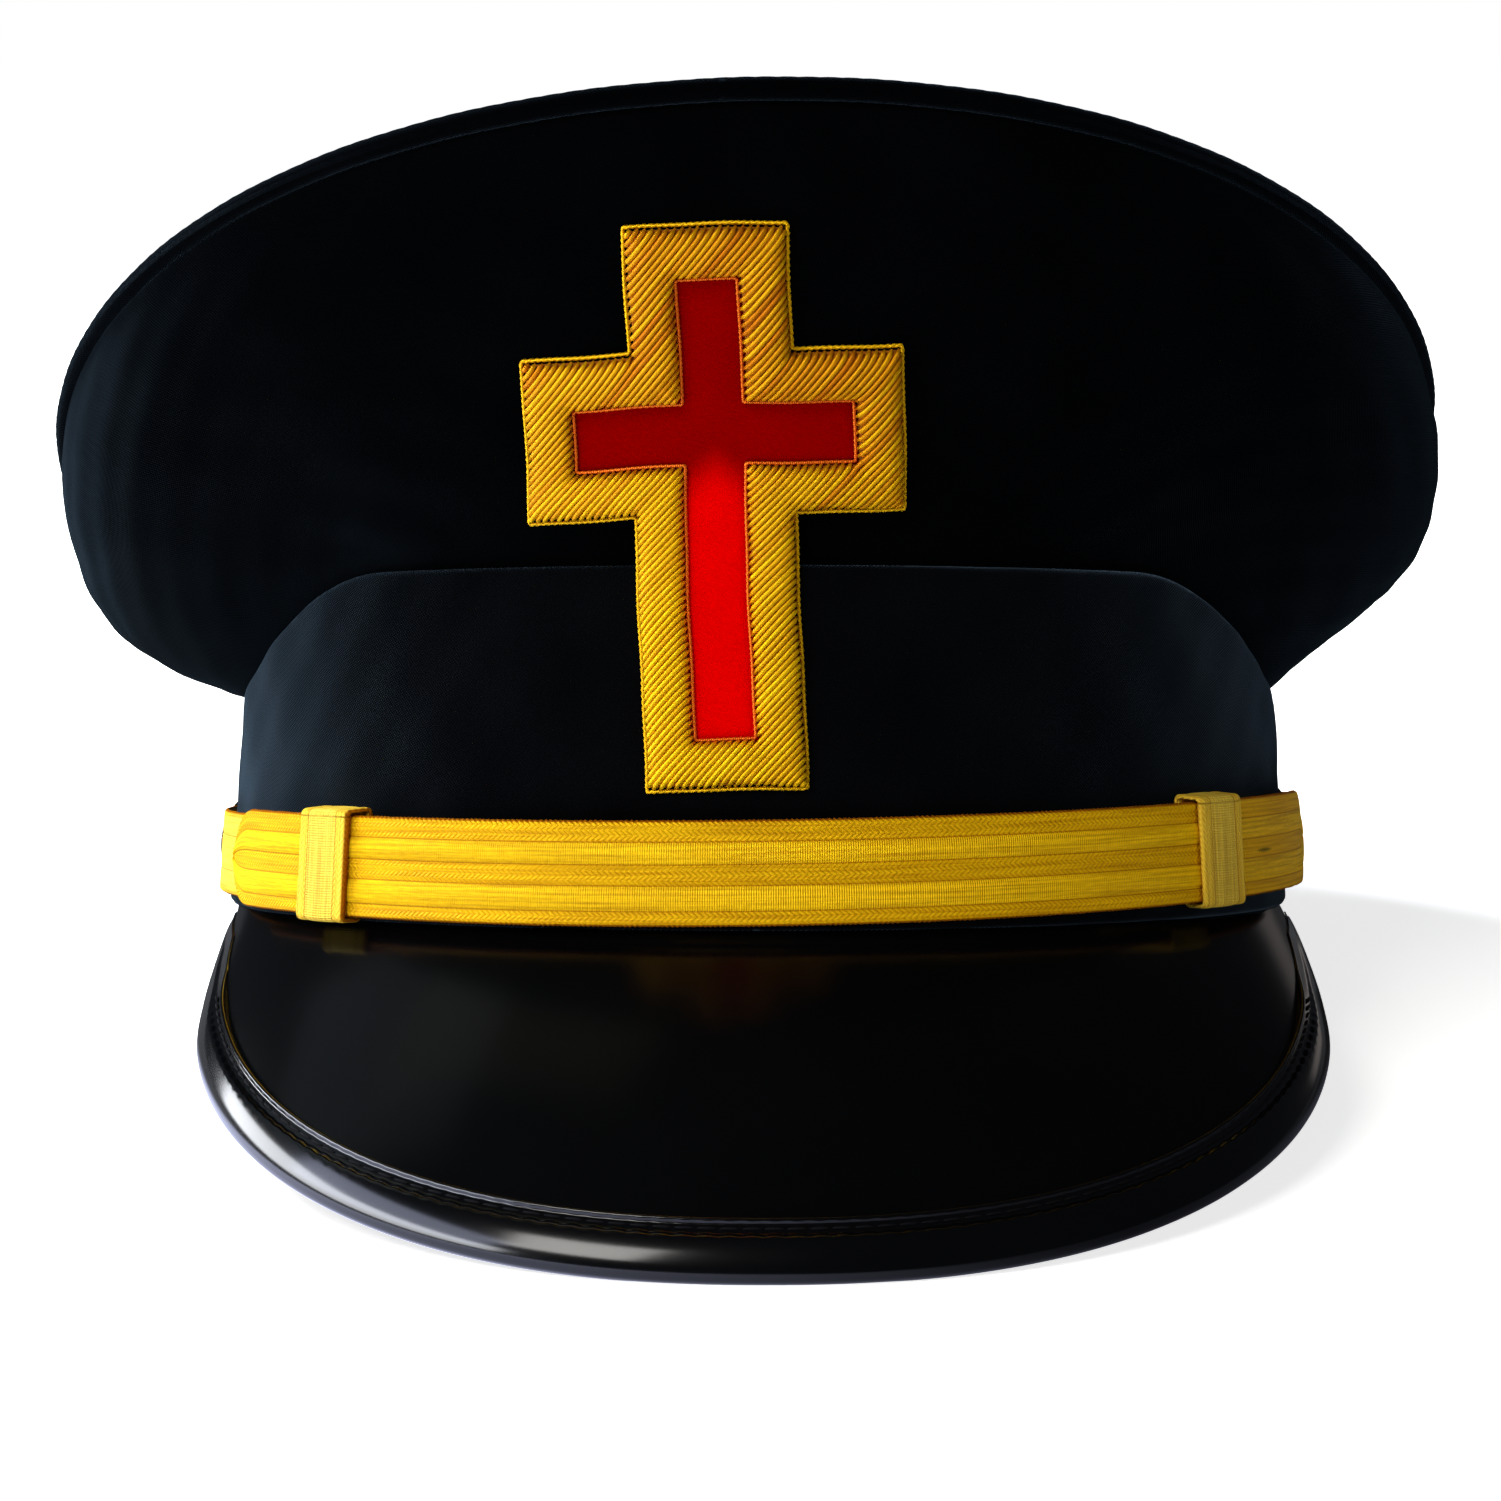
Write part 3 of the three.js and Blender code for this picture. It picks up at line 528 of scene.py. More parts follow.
def make_crown_side():
    """The wall's outer face with slack and seams, its inner face one wall inside, and a hem tucked
    down behind the band."""
    azimuth = full_turn(CROWN_COLUMNS)[:, None]
    rise = np.linspace(0, WALL_END, WALL_ROWS)[None, :]
    face = crown_face(azimuth, rise)
    normal = surface_normal(crown_face, azimuth, rise)
    seams = sum(seam_dent(azimuth, place, CROWN_HALF_WIDTH, *CROWN_SEAM) for place in CROWN_SEAMS)
    free = smooth_step(rise, 0, WALL_SLACK_FROM) * smooth_step(-rise, -1, -WALL_SLACK_TO)
    face = face + normal * ((slack(azimuth, 4 * rise, CROWN_SLACK) + seams) * free)[..., None]
    inner = (face - normal * CROWN_WALL)[:, ::4]
    low = band_top(azimuth) - CROWN_TUCK
    behind = -BAND_WALL - SEWING_GAP
    hem_out = band_point(azimuth, low + np.array([[0, 0.5]]) * CROWN_TUCK, behind)
    hem_in = band_point(azimuth, low + np.array([[1, 0.5, 0]]) * CROWN_TUCK, behind - CROWN_WALL)
    points = np.concatenate([hem_out, face, inner[:, :0:-1], hem_in], 1)
    steps = np.linalg.norm(np.diff(points, axis=1, prepend=points[:, :1]), axis=-1)
    uv = flat_map(azimuth * CROWN_HALF_WIDTH, np.cumsum(steps, 1))
    piece = mesh_piece("crown_side_cloth", laid_down(points), ring_faces(points), SHADED_CROWN_WOOL, uv)
    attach(piece, "root")
    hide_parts("crown_side")


def capped_rings(rings, tips):
    """Points and faces of a row of closed rings, with one point that closes each end."""
    rows, sides = rings.shape[:2]
    here = np.arange(sides)
    ahead = (here + 1) % sides
    last = (rows - 1) * sides
    fans = np.concatenate([
        np.stack([np.full(sides, rows * sides), here, ahead], -1),
        np.stack([np.full(sides, rows * sides + 1), last + ahead, last + here], -1),
    ])
    return np.concatenate([rings.reshape(-1, 3), tips]), [grid_faces(rows, sides, False, True), fans]


def make_crown_top():
    """The top panel: rings of points above and below, closed by one point at each centre."""
    azimuth = full_turn(CROWN_TOP_COLUMNS)[None, :]
    edge = 1 - 0.4 * WELT_RADIUS / CROWN_HALF_WIDTH
    upper = np.linspace(0.02, edge, 60)[:, None]
    lower = np.linspace(edge, 0.02, 16)[:, None]
    above = crown_top_point(azimuth, upper)
    above[..., 2] += slack(azimuth, 6 * upper, CROWN_TOP_SLACK) * (1 - upper) * upper
    below = crown_top_point(azimuth, lower) - CROWN_WALL * UP
    centres = crown_top_point(np.zeros(2), 0.0) - CROWN_WALL * np.array([0 * UP, UP])
    points, faces = capped_rings(np.concatenate([above, below], 0), centres)
    piece = mesh_piece("crown_top_cloth", laid_down(points), faces, SHADED_CROWN_WOOL, points[:, :2] / MM)
    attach(piece, "root")
    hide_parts("crown_top")


def round_section(centre, side, up, radius, turn):
    """Rings round a centre line: each point is centre + radius (side cos t + up sin t)."""
    turn = turn[:, None]
    ring = side[..., None, :] * np.cos(turn) + up[..., None, :] * np.sin(turn)
    return centre[..., None, :] + radius * ring


def make_welt():
    """A cord in a bias strip round the seam: a round section whose radius puckers a little."""
    azimuth, turn = full_turn(CROWN_COLUMNS), full_turn(WELT_SIDES)
    around, about = azimuth[:, None], turn[None, :]
    pucker = 1 + sum(depth * np.sin(m * around + n * about) for m, n, depth in WELT_PUCKERS)
    centre = crown_top_point(azimuth, 1.0)
    radius = (WELT_RADIUS * pucker)[..., None]
    points = round_section(centre, outward_direction(azimuth), UP, radius, turn)
    uv = flat_map(around * CROWN_HALF_WIDTH, about * WELT_RADIUS)
    piece = mesh_piece("crown_welt_cord", laid_down(points), ring_faces(points), SHADED_CROWN_WOOL, uv)
    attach(piece, "root")
    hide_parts("crown_welt")


make_crown_side()
make_crown_top()
make_welt()

# Peak.
# Black patent leather over a stiff board, sewn under the front of the band. It slopes down and
# forward, and its free edge is a squarish oval that rises evenly from the tip to both ends.

PEAK_WALL = 1.8 * MM
PEAK_ROOT_UP = 0.4 * MM
PEAK_ROOT_IN = 0.9 * MM
PEAK_ROOT_HALF = math.radians(76)
PEAK_RIM_HALF = math.radians(102)
PEAK_RIM_CENTRE = (0.6 * MM, -40.9 * MM)
PEAK_RIM_HALF_WIDTH = 84.6 * MM
PEAK_RIM_REACH = 99.4 * MM
PEAK_SQUARENESS = 2.27
PEAK_TIP_HEIGHT = -41 * MM
PEAK_RIM_RISE = 0.3226
PEAK_ARCH = 3.2 * MM
PEAK_STATIONS = 300
PEAK_ROWS = 48


def upturned(vectors):
    """Vectors turned round where they point down."""
    return vectors * np.where(vectors[..., 2:] > 0, 1, -1)


def peak_rim(turn):
    """The free edge: (x / half width) to the n plus (y / reach) to the n is 1, with n the squareness."""
    across = np.abs(np.sin(turn) / PEAK_RIM_HALF_WIDTH) ** PEAK_SQUARENESS
    along = np.abs(np.cos(turn) / PEAK_RIM_REACH) ** PEAK_SQUARENESS
    radius = (across + along) ** (-1 / PEAK_SQUARENESS)
    y = PEAK_RIM_CENTRE[1] - radius * np.cos(turn)
    height = PEAK_TIP_HEIGHT + PEAK_RIM_RISE * (y - PEAK_RIM_CENTRE[1] + PEAK_RIM_REACH)
    return np.stack([PEAK_RIM_CENTRE[0] + radius * np.sin(turn), y, height], -1)


def peak_face(turn, share):
    """The upper face: straight from the root under the band to the rim, bowed up by a parabola."""
    turn, share = np.broadcast_arrays(turn, share)
    root = band_point(turn * (PEAK_ROOT_HALF / PEAK_RIM_HALF), PEAK_ROOT_UP, -PEAK_ROOT_IN)
    slope = peak_rim(turn) - root
    length = np.linalg.norm(slope, axis=-1, keepdims=True)
    across = unit(np.stack([-slope[..., 1], slope[..., 0], 0 * share], -1))
    bow = upturned(unit(np.cross(slope, across)))
    s = share[..., None]
    return root + slope * s + bow * PEAK_ARCH * (length / PEAK_RIM_REACH) * 4 * s * (1 - s)


def peak_normal(turn, share):
    """The upper face's normal, turned upwards."""
    return upturned(surface_normal(peak_face, turn, share))


def ringed_strip(rows, columns):
    """Faces of a body through a row of closed sections, with one face over each of its two ends."""
    ends = np.stack([np.arange(columns), (rows - 1) * columns + np.arange(columns)[::-1]])
    return [grid_faces(rows, columns, False, True), ends]


def patent_leather(name, coat, coat_roughness, waves_height):
    """Black patent: a dark base under a clear hard coat, with long soft waves in its surface."""
    material, tree = new_material(name)
    place = added(tree, "TexCoord", "Object", {})
    waves = noise(tree, place, 38, 1)
    height = maths(tree, "MULTIPLY_ADD", noise(tree, place, 900, 2), 0.02, waves)
    return dressed(material, {
        "Base Color": blend(tree, waves, (0.0006, 0.0007, 0.0009), (0.0016, 0.0017, 0.002)),
        "Normal": bump(tree, height, 1.0, waves_height),
        "Roughness": 0.4,
        "Specular IOR Level": 0.0,
        "Coat Weight": coat,
        "Coat Roughness": coat_roughness,
    })


def make_peak():
    """The upper face and, one wall below it, the lower face, as closed sections from end to end."""
    turn = np.linspace(-PEAK_RIM_HALF, PEAK_RIM_HALF, PEAK_STATIONS)[:, None]
    share = np.linspace(0, 1, PEAK_ROWS)[None, :]
    upper = peak_face(turn, share)
    lower = upper - peak_normal(turn, share) * PEAK_WALL
    points = np.concatenate([upper, lower[:, ::-1]], 1)
    leather = patent_leather("patent_leather", 0.4, 0.18, 2.4 * MM)
    piece = mesh_piece("peak_patent", laid_down(points), ringed_strip(*points.shape[:2]), leather, sharp=50)
    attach(piece, "root")
    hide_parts("peak")


make_peak()

# Peak binding.
# A strip of the same patent leather rolled round the peak's free edge. A row of stitches near its
# inner edge holds it, and each stitch draws the leather down a little.

BINDING_WIDTH = 6.5 * MM
BINDING_LIFT = 1.4 * MM
BINDING_OVER = 0.05 * MM
BINDING_CLEAR = 0.1 * MM
BINDING_MOST = 0.55
BINDING_FLATTEST = 0.35
# Where the strip's height is worked out, in millimetres from its inner edge.
BINDING_ACROSS = [0, 0.03, 0.1, 0.2, 0.35, 0.5, 0.65, 0.8, 0.95, 1.1, 1.25, 1.4, 1.7, 2.1, 2.4, 2.6, 2.8,
                  3.0, 3.2, 3.4, 3.8, 4.4, 5.0, 5.7, 6.5]
BEAD_MIDDLE = 0.55 * MM
BEAD_HEIGHT = 1.15 * MM
BEAD_BULGE = 0.12 * MM
DITCH_HEIGHT = 0.7 * MM
SHOULDER = (2.2 * MM, 3.4 * MM)
SHOULDER_PULL = 0.15 * MM
BINDING_ROLL = 2.3 * MM
CREST_FROM_EDGE = 3.1 * MM
BINDING_FULL_FROM = 14 * MM
BINDING_STATIONS = 1300
RELIEF_FADE = (math.radians(68), math.radians(82))
STITCH_PITCH = 3.0 * MM
STITCH_IN = 1.75 * MM
STITCH_RADIUS = 0.22 * MM
STITCH_UP = 0.08 * MM
STITCH_HALF = 0.42 * STITCH_PITCH


def binding_size(turn):
    """At each place on the rim: the peak's length from root to rim, and the width of the binding."""
    slope = peak_face(turn, 0.0) - peak_face(turn, 1.0)
    length = np.linalg.norm(slope, axis=-1)
    return slope, length, np.minimum(BINDING_WIDTH, BINDING_MOST * length)


def binding_relief(turn):
    """How far the bead and the stitches show: fully in front, and not at all near the two ends."""
    return 1 - smooth_step(np.abs(turn), *RELIEF_FADE)


def run_along(points):
    """The length of the way up to each point."""
    return np.concatenate([[0], np.cumsum(np.linalg.norm(np.diff(points, axis=0), axis=-1))])


def make_binding():
    """The section goes over the strip, round the free edge and back under, then inside. The strip
    has a bead, half an ellipse high, then a level ditch for the stitches, and a shoulder that rises
    to the crest. From the crest an ellipse falls to the edge, and a quarter circle goes on to the
    underside. Between two stitches the bead and the shoulder swell towards each other."""
    stations = np.linspace(-PEAK_RIM_HALF, PEAK_RIM_HALF, BINDING_STATIONS)
    edge, normal = peak_face(stations, 1.0), peak_normal(stations, 1.0)
    inward, length, width = binding_size(stations)
    out = unit(np.cross(unit(np.gradient(edge, axis=0)), normal))
    out = out * np.where(np.sum(out * inward, -1, keepdims=True) < 0, 1, -1)
    run = run_along(edge)[:, None]
    turn, length, width = stations[:, None], length[:, None], width[:, None]
    edge, normal, out = edge[:, None], normal[:, None], out[:, None]
    start = 1 - width / length
    across = np.array([BINDING_ACROSS]) * MM
    relief = binding_relief(turn)
    fullness = BINDING_FLATTEST + (1 - BINDING_FLATTEST) * relief
    crest, bottom = BINDING_LIFT * fullness, DITCH_HEIGHT * fullness
    middle = BINDING_LIFT - BINDING_ROLL

    def upper_roll(past_edge):
        """Height of the roll: a quarter ellipse from the crest to past the edge."""
        share = np.clip((CREST_FROM_EDGE + past_edge) / (CREST_FROM_EDGE + BINDING_ROLL), 0, 1)
        return middle + (crest - middle) * np.sqrt(1 - share ** 2)

    def on_face(from_inner, height):
        """Over the peak's face, by distance from the strip's inner edge and height."""
        share = start + from_inner / length
        return peak_face(turn, share) + peak_normal(turn, share) * height[..., None]

    pull = relief * (0.5 + 0.5 * np.cos(2 * math.pi * run / STITCH_PITCH))
    bead_half = BEAD_MIDDLE + np.where(across < BEAD_MIDDLE, 0, BEAD_BULGE * (relief - pull))
    bead = BEAD_HEIGHT * np.sqrt(np.clip(1 - ((across - BEAD_MIDDLE) / bead_half) ** 2, 0, 1))
    ditch = bottom * smooth_step(across, 0, 0.2 * MM)
    rise = smooth_step(across - SHOULDER_PULL * pull, *SHOULDER)
    shoulder = bottom + (upper_roll(across - BINDING_WIDTH) - bottom) * rise
    height = np.where(across > 2 * MM, shoulder, ditch + relief * np.clip(bead - ditch, 0, None))
    strip = on_face(across * width / BINDING_WIDTH, BINDING_OVER + height)
    fade = np.minimum(1, length / BINDING_FULL_FROM)

    def past(outward, upward):
        """Past the peak's edge, by distance out from it and height over it."""
        return edge + out * (outward * fade)[..., None] + normal * upward[..., None]

    past_edge = BINDING_ROLL * np.sin(np.linspace(0, math.pi / 2, 12))[None, 1:]
    angle = np.linspace(0, -math.pi / 2, 9)[None, 1:]
    back = np.linspace(1, 0, 7)[None, 1:] * width
    clear = np.full_like(fade, BINDING_CLEAR)
    points = np.concatenate([
        strip,
        past(past_edge, BINDING_OVER + upper_roll(past_edge)),
        past(BINDING_ROLL * np.cos(angle), middle + BINDING_ROLL * np.sin(angle)),
        on_face(back, np.full_like(back, BINDING_LIFT - 2 * BINDING_ROLL)),
        on_face(0 * width, -PEAK_WALL - clear),
        past(clear / fade, -PEAK_WALL - clear),
        past(clear / fade, clear),
    ], 1)
    faces = ringed_strip(*points.shape[:2])
    leather = patent_leather("patent_binding", 0.9, 0.16, 0.3 * MM)
    piece = mesh_piece("peak_binding_patent", laid_down(points), faces, leather, sharp=60)
    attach(piece, "root")
    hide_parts("peak_binding")


def many_strip_faces(count, rows, columns):
    """The faces of as many equal ringed strips, one after another in the list of points."""
    first = (np.arange(count) * rows * columns)[:, None, None]
    return [(group[None] + first).reshape(-1, group.shape[1]) for group in ringed_strip(rows, columns)]


def waxed_thread():
    """Black waxed thread: matt, with a fine twist."""
    material, tree = new_material("waxed_thread")
    twist = noise(tree, added(tree, "TexCoord", "Object", {}), 2500, 2)
    return dressed(material, {
        "Base Color": (0.004, 0.004, 0.005),
        "Normal": bump(tree, twist, 1.0, 0.05 * MM),
        "Roughness": 0.7,
        "Specular IOR Level": 0.05,
    })


def make_stitches():
    """A short bar between each two holes, lying in the ditch of the strip. Its radius falls towards
    both ends with the cube of the way from its middle."""
    dense = np.linspace(-PEAK_RIM_HALF, PEAK_RIM_HALF, BINDING_STATIONS)
    run = run_along(peak_face(dense, 1.0))
    inward, length, width = binding_size(dense)
    middles = np.arange(2.5, run[-1] / STITCH_PITCH - 2) * STITCH_PITCH
    turn = np.interp(middles, run, dense)
    share = np.interp(turn, dense, 1 - width / length + np.minimum(STITCH_IN, 0.15 * length) / length)
    shown = binding_relief(turn) > 0.5
    turn, share = turn[shown], share[shown]
    centre = peak_face(turn, share)
    up = peak_normal(turn, share)
    along = unit(peak_face(turn + 1e-3, share) - centre)
    side = np.cross(along, up)
    place = np.linspace(-1, 1, 7)[:, None]
    thick = STITCH_RADIUS * (1 - 0.75 * np.abs(place) ** 3)[..., None]
    line = centre + up * (DITCH_HEIGHT + STITCH_UP)
    line = line[:, None] + along[:, None] * STITCH_HALF * place
    bars = round_section(line, side[:, None], up[:, None], thick, full_turn(8))
    faces = many_strip_faces(*bars.shape[:3])
    piece = mesh_piece("peak_stitches", laid_down(bars), faces, waxed_thread())
    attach(piece, "root")


make_binding()
make_stitches()

# Chin strap.
# Two layers of gold lace laid round the foot of the band. The under one runs from button to button,
# and the front one ends in two rounded tongues. Its ribs run lengthwise: two smooth raised ones
# between three finely figured ones.

STRAP_BOTTOM = 0.9 * MM
STRAP_RIGHT_RISE = 0.014
STRAP_END_RISE = 0.00022 / MM
STRAP_HEIGHT = 14.7 * MM
STRAP_UNDER_INSET = 0.9 * MM
STRAP_UNDER = {"out": 1.3 * MM, "wall": 0.9 * MM, "start": math.radians(-104), "end": math.radians(104)}
STRAP_FRONT = {"out": 2.5 * MM, "wall": 1.0 * MM, "start": math.radians(-65.5), "end": math.radians(79)}
STRAP_EDGE = 0.4 * MM
# Tiny loops along the lace's edges: how far they stand out, their pitch, and how far in they reach.
PICOT = {"depth": 0.09 * MM, "pitch": 0.8 * MM, "reach": 0.5 * MM}
RIBS_FROM = 0.3 * MM
LACE_RADIUS = (BAND_HALF_WIDTH + BAND_HALF_LENGTH) / 2
LACE_STEP = 0.4 * MM
# Ribs of each layer from its lower edge: centre, half width and height in millimetres.
LACE_RIBS = [(1.0, 1.0, 0.12), (3.85, 1.7, 0.34), (7.1, 1.35, 0.14), (10.1, 1.5, 0.34), (13.2, 1.4, 0.14)]
UNDER_RIBS = [(2.2, 2.0, 0.1), (7.35, 3.0, 0.1), (12.5, 2.0, 0.1)]
WEFT_PITCH = 0.36
# Dark amber for worn streaks, and as painted shade in the creases between ribs and along darkened edges.
WEAR_AND_SHADE_AMBER = (0.34, 0.1, 0.001)
# The slit is painted olive, as the shade inside its hole.
SLIT_SHADE_OLIVE = (0.16, 0.1, 0.002)


def strap_bottom(azimuth):
    """The lower edge's height: a constant, a slope in x and a rise with x squared."""
    x = BAND_HALF_WIDTH * np.sin(azimuth)
    return STRAP_BOTTOM + STRAP_RIGHT_RISE * x + STRAP_END_RISE * x ** 2


def rib_height(across, ribs):
    """The sum of half ellipses, one for each rib, by the distance from the lower edge."""
    total = 0 * across
    for centre, half, height in ribs:
        total = total + height * MM * np.sqrt(np.clip(1 - ((across / MM - centre) / half) ** 2, 0, 1))
    return total


def edge_drop(from_edge, radius):
    """How far the face drops beside its edge, along a quarter circle."""
    return radius * (1 - np.sqrt(1 - (1 - np.clip(from_edge / radius, 0, 1)) ** 2))


def lace_strip(layer, inset, ribs):
    """A strip along the band: a ribbed outer face with rounded edges and a plain back. Its height
    closes at both ends along a half circle, so that the ribs run together there."""
    end = (1 - np.cos(np.linspace(0.02, 1, 26) * math.pi / 2)) * STRAP_HEIGHT / 2
    length = (layer["end"] - layer["start"]) * LACE_RADIUS
    middle = np.linspace(end[-1], length - end[-1], int(length / LACE_STEP))
    run = np.concatenate([end[:-1], middle, length - end[-2::-1]])[:, None]
    azimuth = layer["start"] + run / LACE_RADIUS
    tip = np.clip(np.minimum(run, length - run) / (STRAP_HEIGHT / 2), 0, 1)
    reach = (STRAP_HEIGHT / 2 - inset) * np.sqrt(1 - (1 - tip) ** 2)
    share = np.linspace(0, 1, 72)[None, :]
    from_edge = 2 * reach * np.minimum(share, 1 - share)
    picot = PICOT["depth"] * np.sin(2 * math.pi * run / PICOT["pitch"])
    picot = picot * (1 - np.clip(from_edge / PICOT["reach"], 0, 1))
    centre = strap_bottom(azimuth) + STRAP_HEIGHT / 2
    outer_height = centre + reach * (2 * share - 1) + picot * np.sign(share - 0.5)
    outer_out = layer["out"] + layer["wall"] - edge_drop(from_edge, STRAP_EDGE) - RIBS_FROM
    outer_out = outer_out + rib_height(share * STRAP_HEIGHT, ribs)
    back = np.linspace(1, 0, 8)[None, :]
    back_height = centre + (reach - 0.05 * MM) * (2 * back - 1)
    height = np.concatenate([outer_height, back_height], 1)
    out = np.concatenate([outer_out, np.full_like(back_height, layer["out"])], 1)
    across = np.concatenate([share, back], 1) * STRAP_HEIGHT
    return band_point(azimuth, height, out), flat_map(run, across)


def gold_lace(name, smooth_ribs, creases, dark_edges, plain, figured, slit=None):
    """Woven gold lace on a UV map in millimetres. Weft threads cross the smooth ribs, and a small
    zigzag figures the rest, which is darker. Dark amber lines lie in the creases between ribs as
    painted shade, and along the given edges, which on the slides are painted shade beside the loop's
    side. Long streaks of the same amber run along it, as where gilt threads have worn. A slit is a
    painted olive mark with pointed ends that stands for the shade inside its hole, at a place along
    and across, with a half length and a half width."""
    material, tree = new_material(name)
    place = added(tree, "UVMap", "UV", {})
    axes = added(tree, "SeparateXYZ", None, {0: place})
    along, across = axes["X"], axes["Y"]

    def times(first, second):
        """The product."""
        return maths(tree, "MULTIPLY", first, second)

    def stripe(centre, half):
        """1 within the half width of a stripe's centre, and 0 beside the stripe."""
        away = maths(tree, "ABSOLUTE", maths(tree, "SUBTRACT", across, centre))
        return ramp(tree, away, half + 0.15, half - 0.15)

    def most(masks):
        """The largest of several masks."""
        widest = masks[0]
        for mask in masks[1:]:
            widest = maths(tree, "MAXIMUM", widest, mask)
        return widest

    def streaks(stretch, scale, detail):
        """Clouds drawn out along the lace."""
        stretched = added(tree, "Mapping", "Vector", {"Vector": place, "Scale": stretch})
        return noise(tree, stretched, scale, detail)

    smooth = most([stripe(*rib) for rib in smooth_ribs])
    weft = maths(tree, "SINE", times(along, 2 * math.pi / WEFT_PITCH))
    fold = maths(tree, "PINGPONG", across, 0.7)
    zigzag = maths(tree, "SINE", maths(tree, "ADD", times(fold, 9.0), times(along, 7.0)))
    figure = added(tree, "Mix", "Result", {"Factor": smooth, "A": zigzag, "B": weft})
    short = streaks((0.35, 2.2, 1), 1.4, 4)
    shine = times(most([smooth, 0.35]), ramp(tree, short, 0.38, 0.62, kind="LINEAR"))
    lit = maths(tree, "MULTIPLY_ADD", smooth, 0.5, times(shine, 0.5))
    worn = ramp(tree, streaks((0.05, 2.6, 1), 1.0, 3), 0.3, 0.6, 0.55, 0.0, kind="LINEAR")
    # Painted shade: dark amber lines in the creases between ribs, and along the given edges.
    edges = [stripe(dark_edge, 0.3) for dark_edge in dark_edges] + [stripe(crease, 0.08) for crease in creases]
    colour = blend(tree, most([worn] + edges), blend(tree, lit, figured, plain), WEAR_AND_SHADE_AMBER)
    # The slit is painted as a dark olive mark that stands for the shade inside its hole.
    if slit:
        ahead = maths(tree, "DIVIDE", maths(tree, "SUBTRACT", along, slit[0]), slit[2])
        beside = maths(tree, "DIVIDE", maths(tree, "SUBTRACT", across, slit[1]), slit[3])
        away = maths(tree, "ADD", maths(tree, "POWER", ahead, 2.0), maths(tree, "ABSOLUTE", beside))
        colour = blend(tree, maths(tree, "SUBTRACT", 1.2, away), colour, SLIT_SHADE_OLIVE)
    height = maths(tree, "MULTIPLY_ADD", short, 1.6, figure)
    return dressed(material, {
        "Base Color": colour,
        "Normal": bump(tree, height, 0.8, 0.07 * MM),
        "Metallic": 0.15,
        "Roughness": 0.45,
        "Specular IOR Level": 0.02,
    })


LACE_SLIT = ((STRAP_FRONT["end"] - STRAP_FRONT["start"]) * LACE_RADIUS / MM - 32, 6.6, 3.6, 0.4)
FRONT_LACE = gold_lace(
    "front_lace", [(3.85, 1.7), (10.1, 1.5)], (2.1, 5.65, 8.55, 11.7), (0.0, 14.7),
    (0.95, 0.58, 0.006), (0.74, 0.4, 0.003), LACE_SLIT)
UNDER_LACE = gold_lace(
    "under_lace", [(7.35, 6.4)], (4.3, 10.4), (0.0, 14.7), (0.92, 0.68, 0.07), (0.75, 0.46, 0.02))


def make_strap(name, node, layer, inset, ribs, material):
    """One layer, in the place of its node."""
    points, uv = lace_strip(layer, inset, ribs)
    piece = mesh_piece(name, laid_down(points), ringed_strip(*points.shape[:2]), material, uv)
    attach(piece, "root")
    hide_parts(node)


make_strap("strap_under_lace", "strap_under", STRAP_UNDER, STRAP_UNDER_INSET, UNDER_RIBS, UNDER_LACE)
make_strap("strap_front_lace", "strap_front", STRAP_FRONT, 0, LACE_RIBS, FRONT_LACE)

# Slides.
# Each slide is a narrow flat lace closed in a loop round both layers of the strap. Its own ribs
# stand upright, and its back sits a little nearer the middle of the cap than its front.

SLIDE_AZIMUTHS = {"slide_left": math.radians(-45.4), "slide_right": math.radians(49.8)}
SLIDE_WIDTH = 11.6 * MM
# The inside and the outside of a loop: depths, heights and corner radius in millimetres.
SLIDE_INNER = {"back": 1.0, "front": 3.85, "low": -0.3, "high": 15.0, "corner": 0.4}
SLIDE_OUTER = {"back": 0.4, "front": 4.55, "low": -0.8, "high": 15.5, "corner": 0.9}
SLIDE_STEPS = 150
SLIDE_EDGE = 0.3 * MM
SLIDE_SKEW = 1.6 * MM
SLIDE_BACK_RISE = 0.35 * MM
SLIDE_RIBS = [(1.2, 1.1, 0.1), (5.8, 3.3, 0.14), (10.4, 1.1, 0.1)]
# The slide lace is darkened along its right edge only, as painted shade beside the loop's side.
SLIDE_LACE = gold_lace(
    "slide_lace", [(5.8, 3.3)], (2.35, 9.25), (11.6,), (0.97, 0.7, 0.085), (0.85, 0.54, 0.04))


def rounded_loop(box):
    """Equal steps once round a box in depth and height, with quarter circles at its four corners."""
    radius = box["corner"]
    back, front = box["back"] + radius, box["front"] - radius
    low, high = box["low"] + radius, box["high"] - radius
    parts = []
    for quarter, centre in enumerate([(front, high), (back, high), (back, low), (front, low)]):
        angle = (quarter + np.linspace(0, 1, 6)) * math.pi / 2
        parts.append(centre + radius * np.stack([np.cos(angle), np.sin(angle)], -1))
    path = np.concatenate(parts + [parts[0][:1]]) * MM
    run = run_along(path)
    even = np.linspace(0, run[-1], SLIDE_STEPS, endpoint=False)
    return np.stack([np.interp(even, run, path[:, 0]), np.interp(even, run, path[:, 1])], -1), even


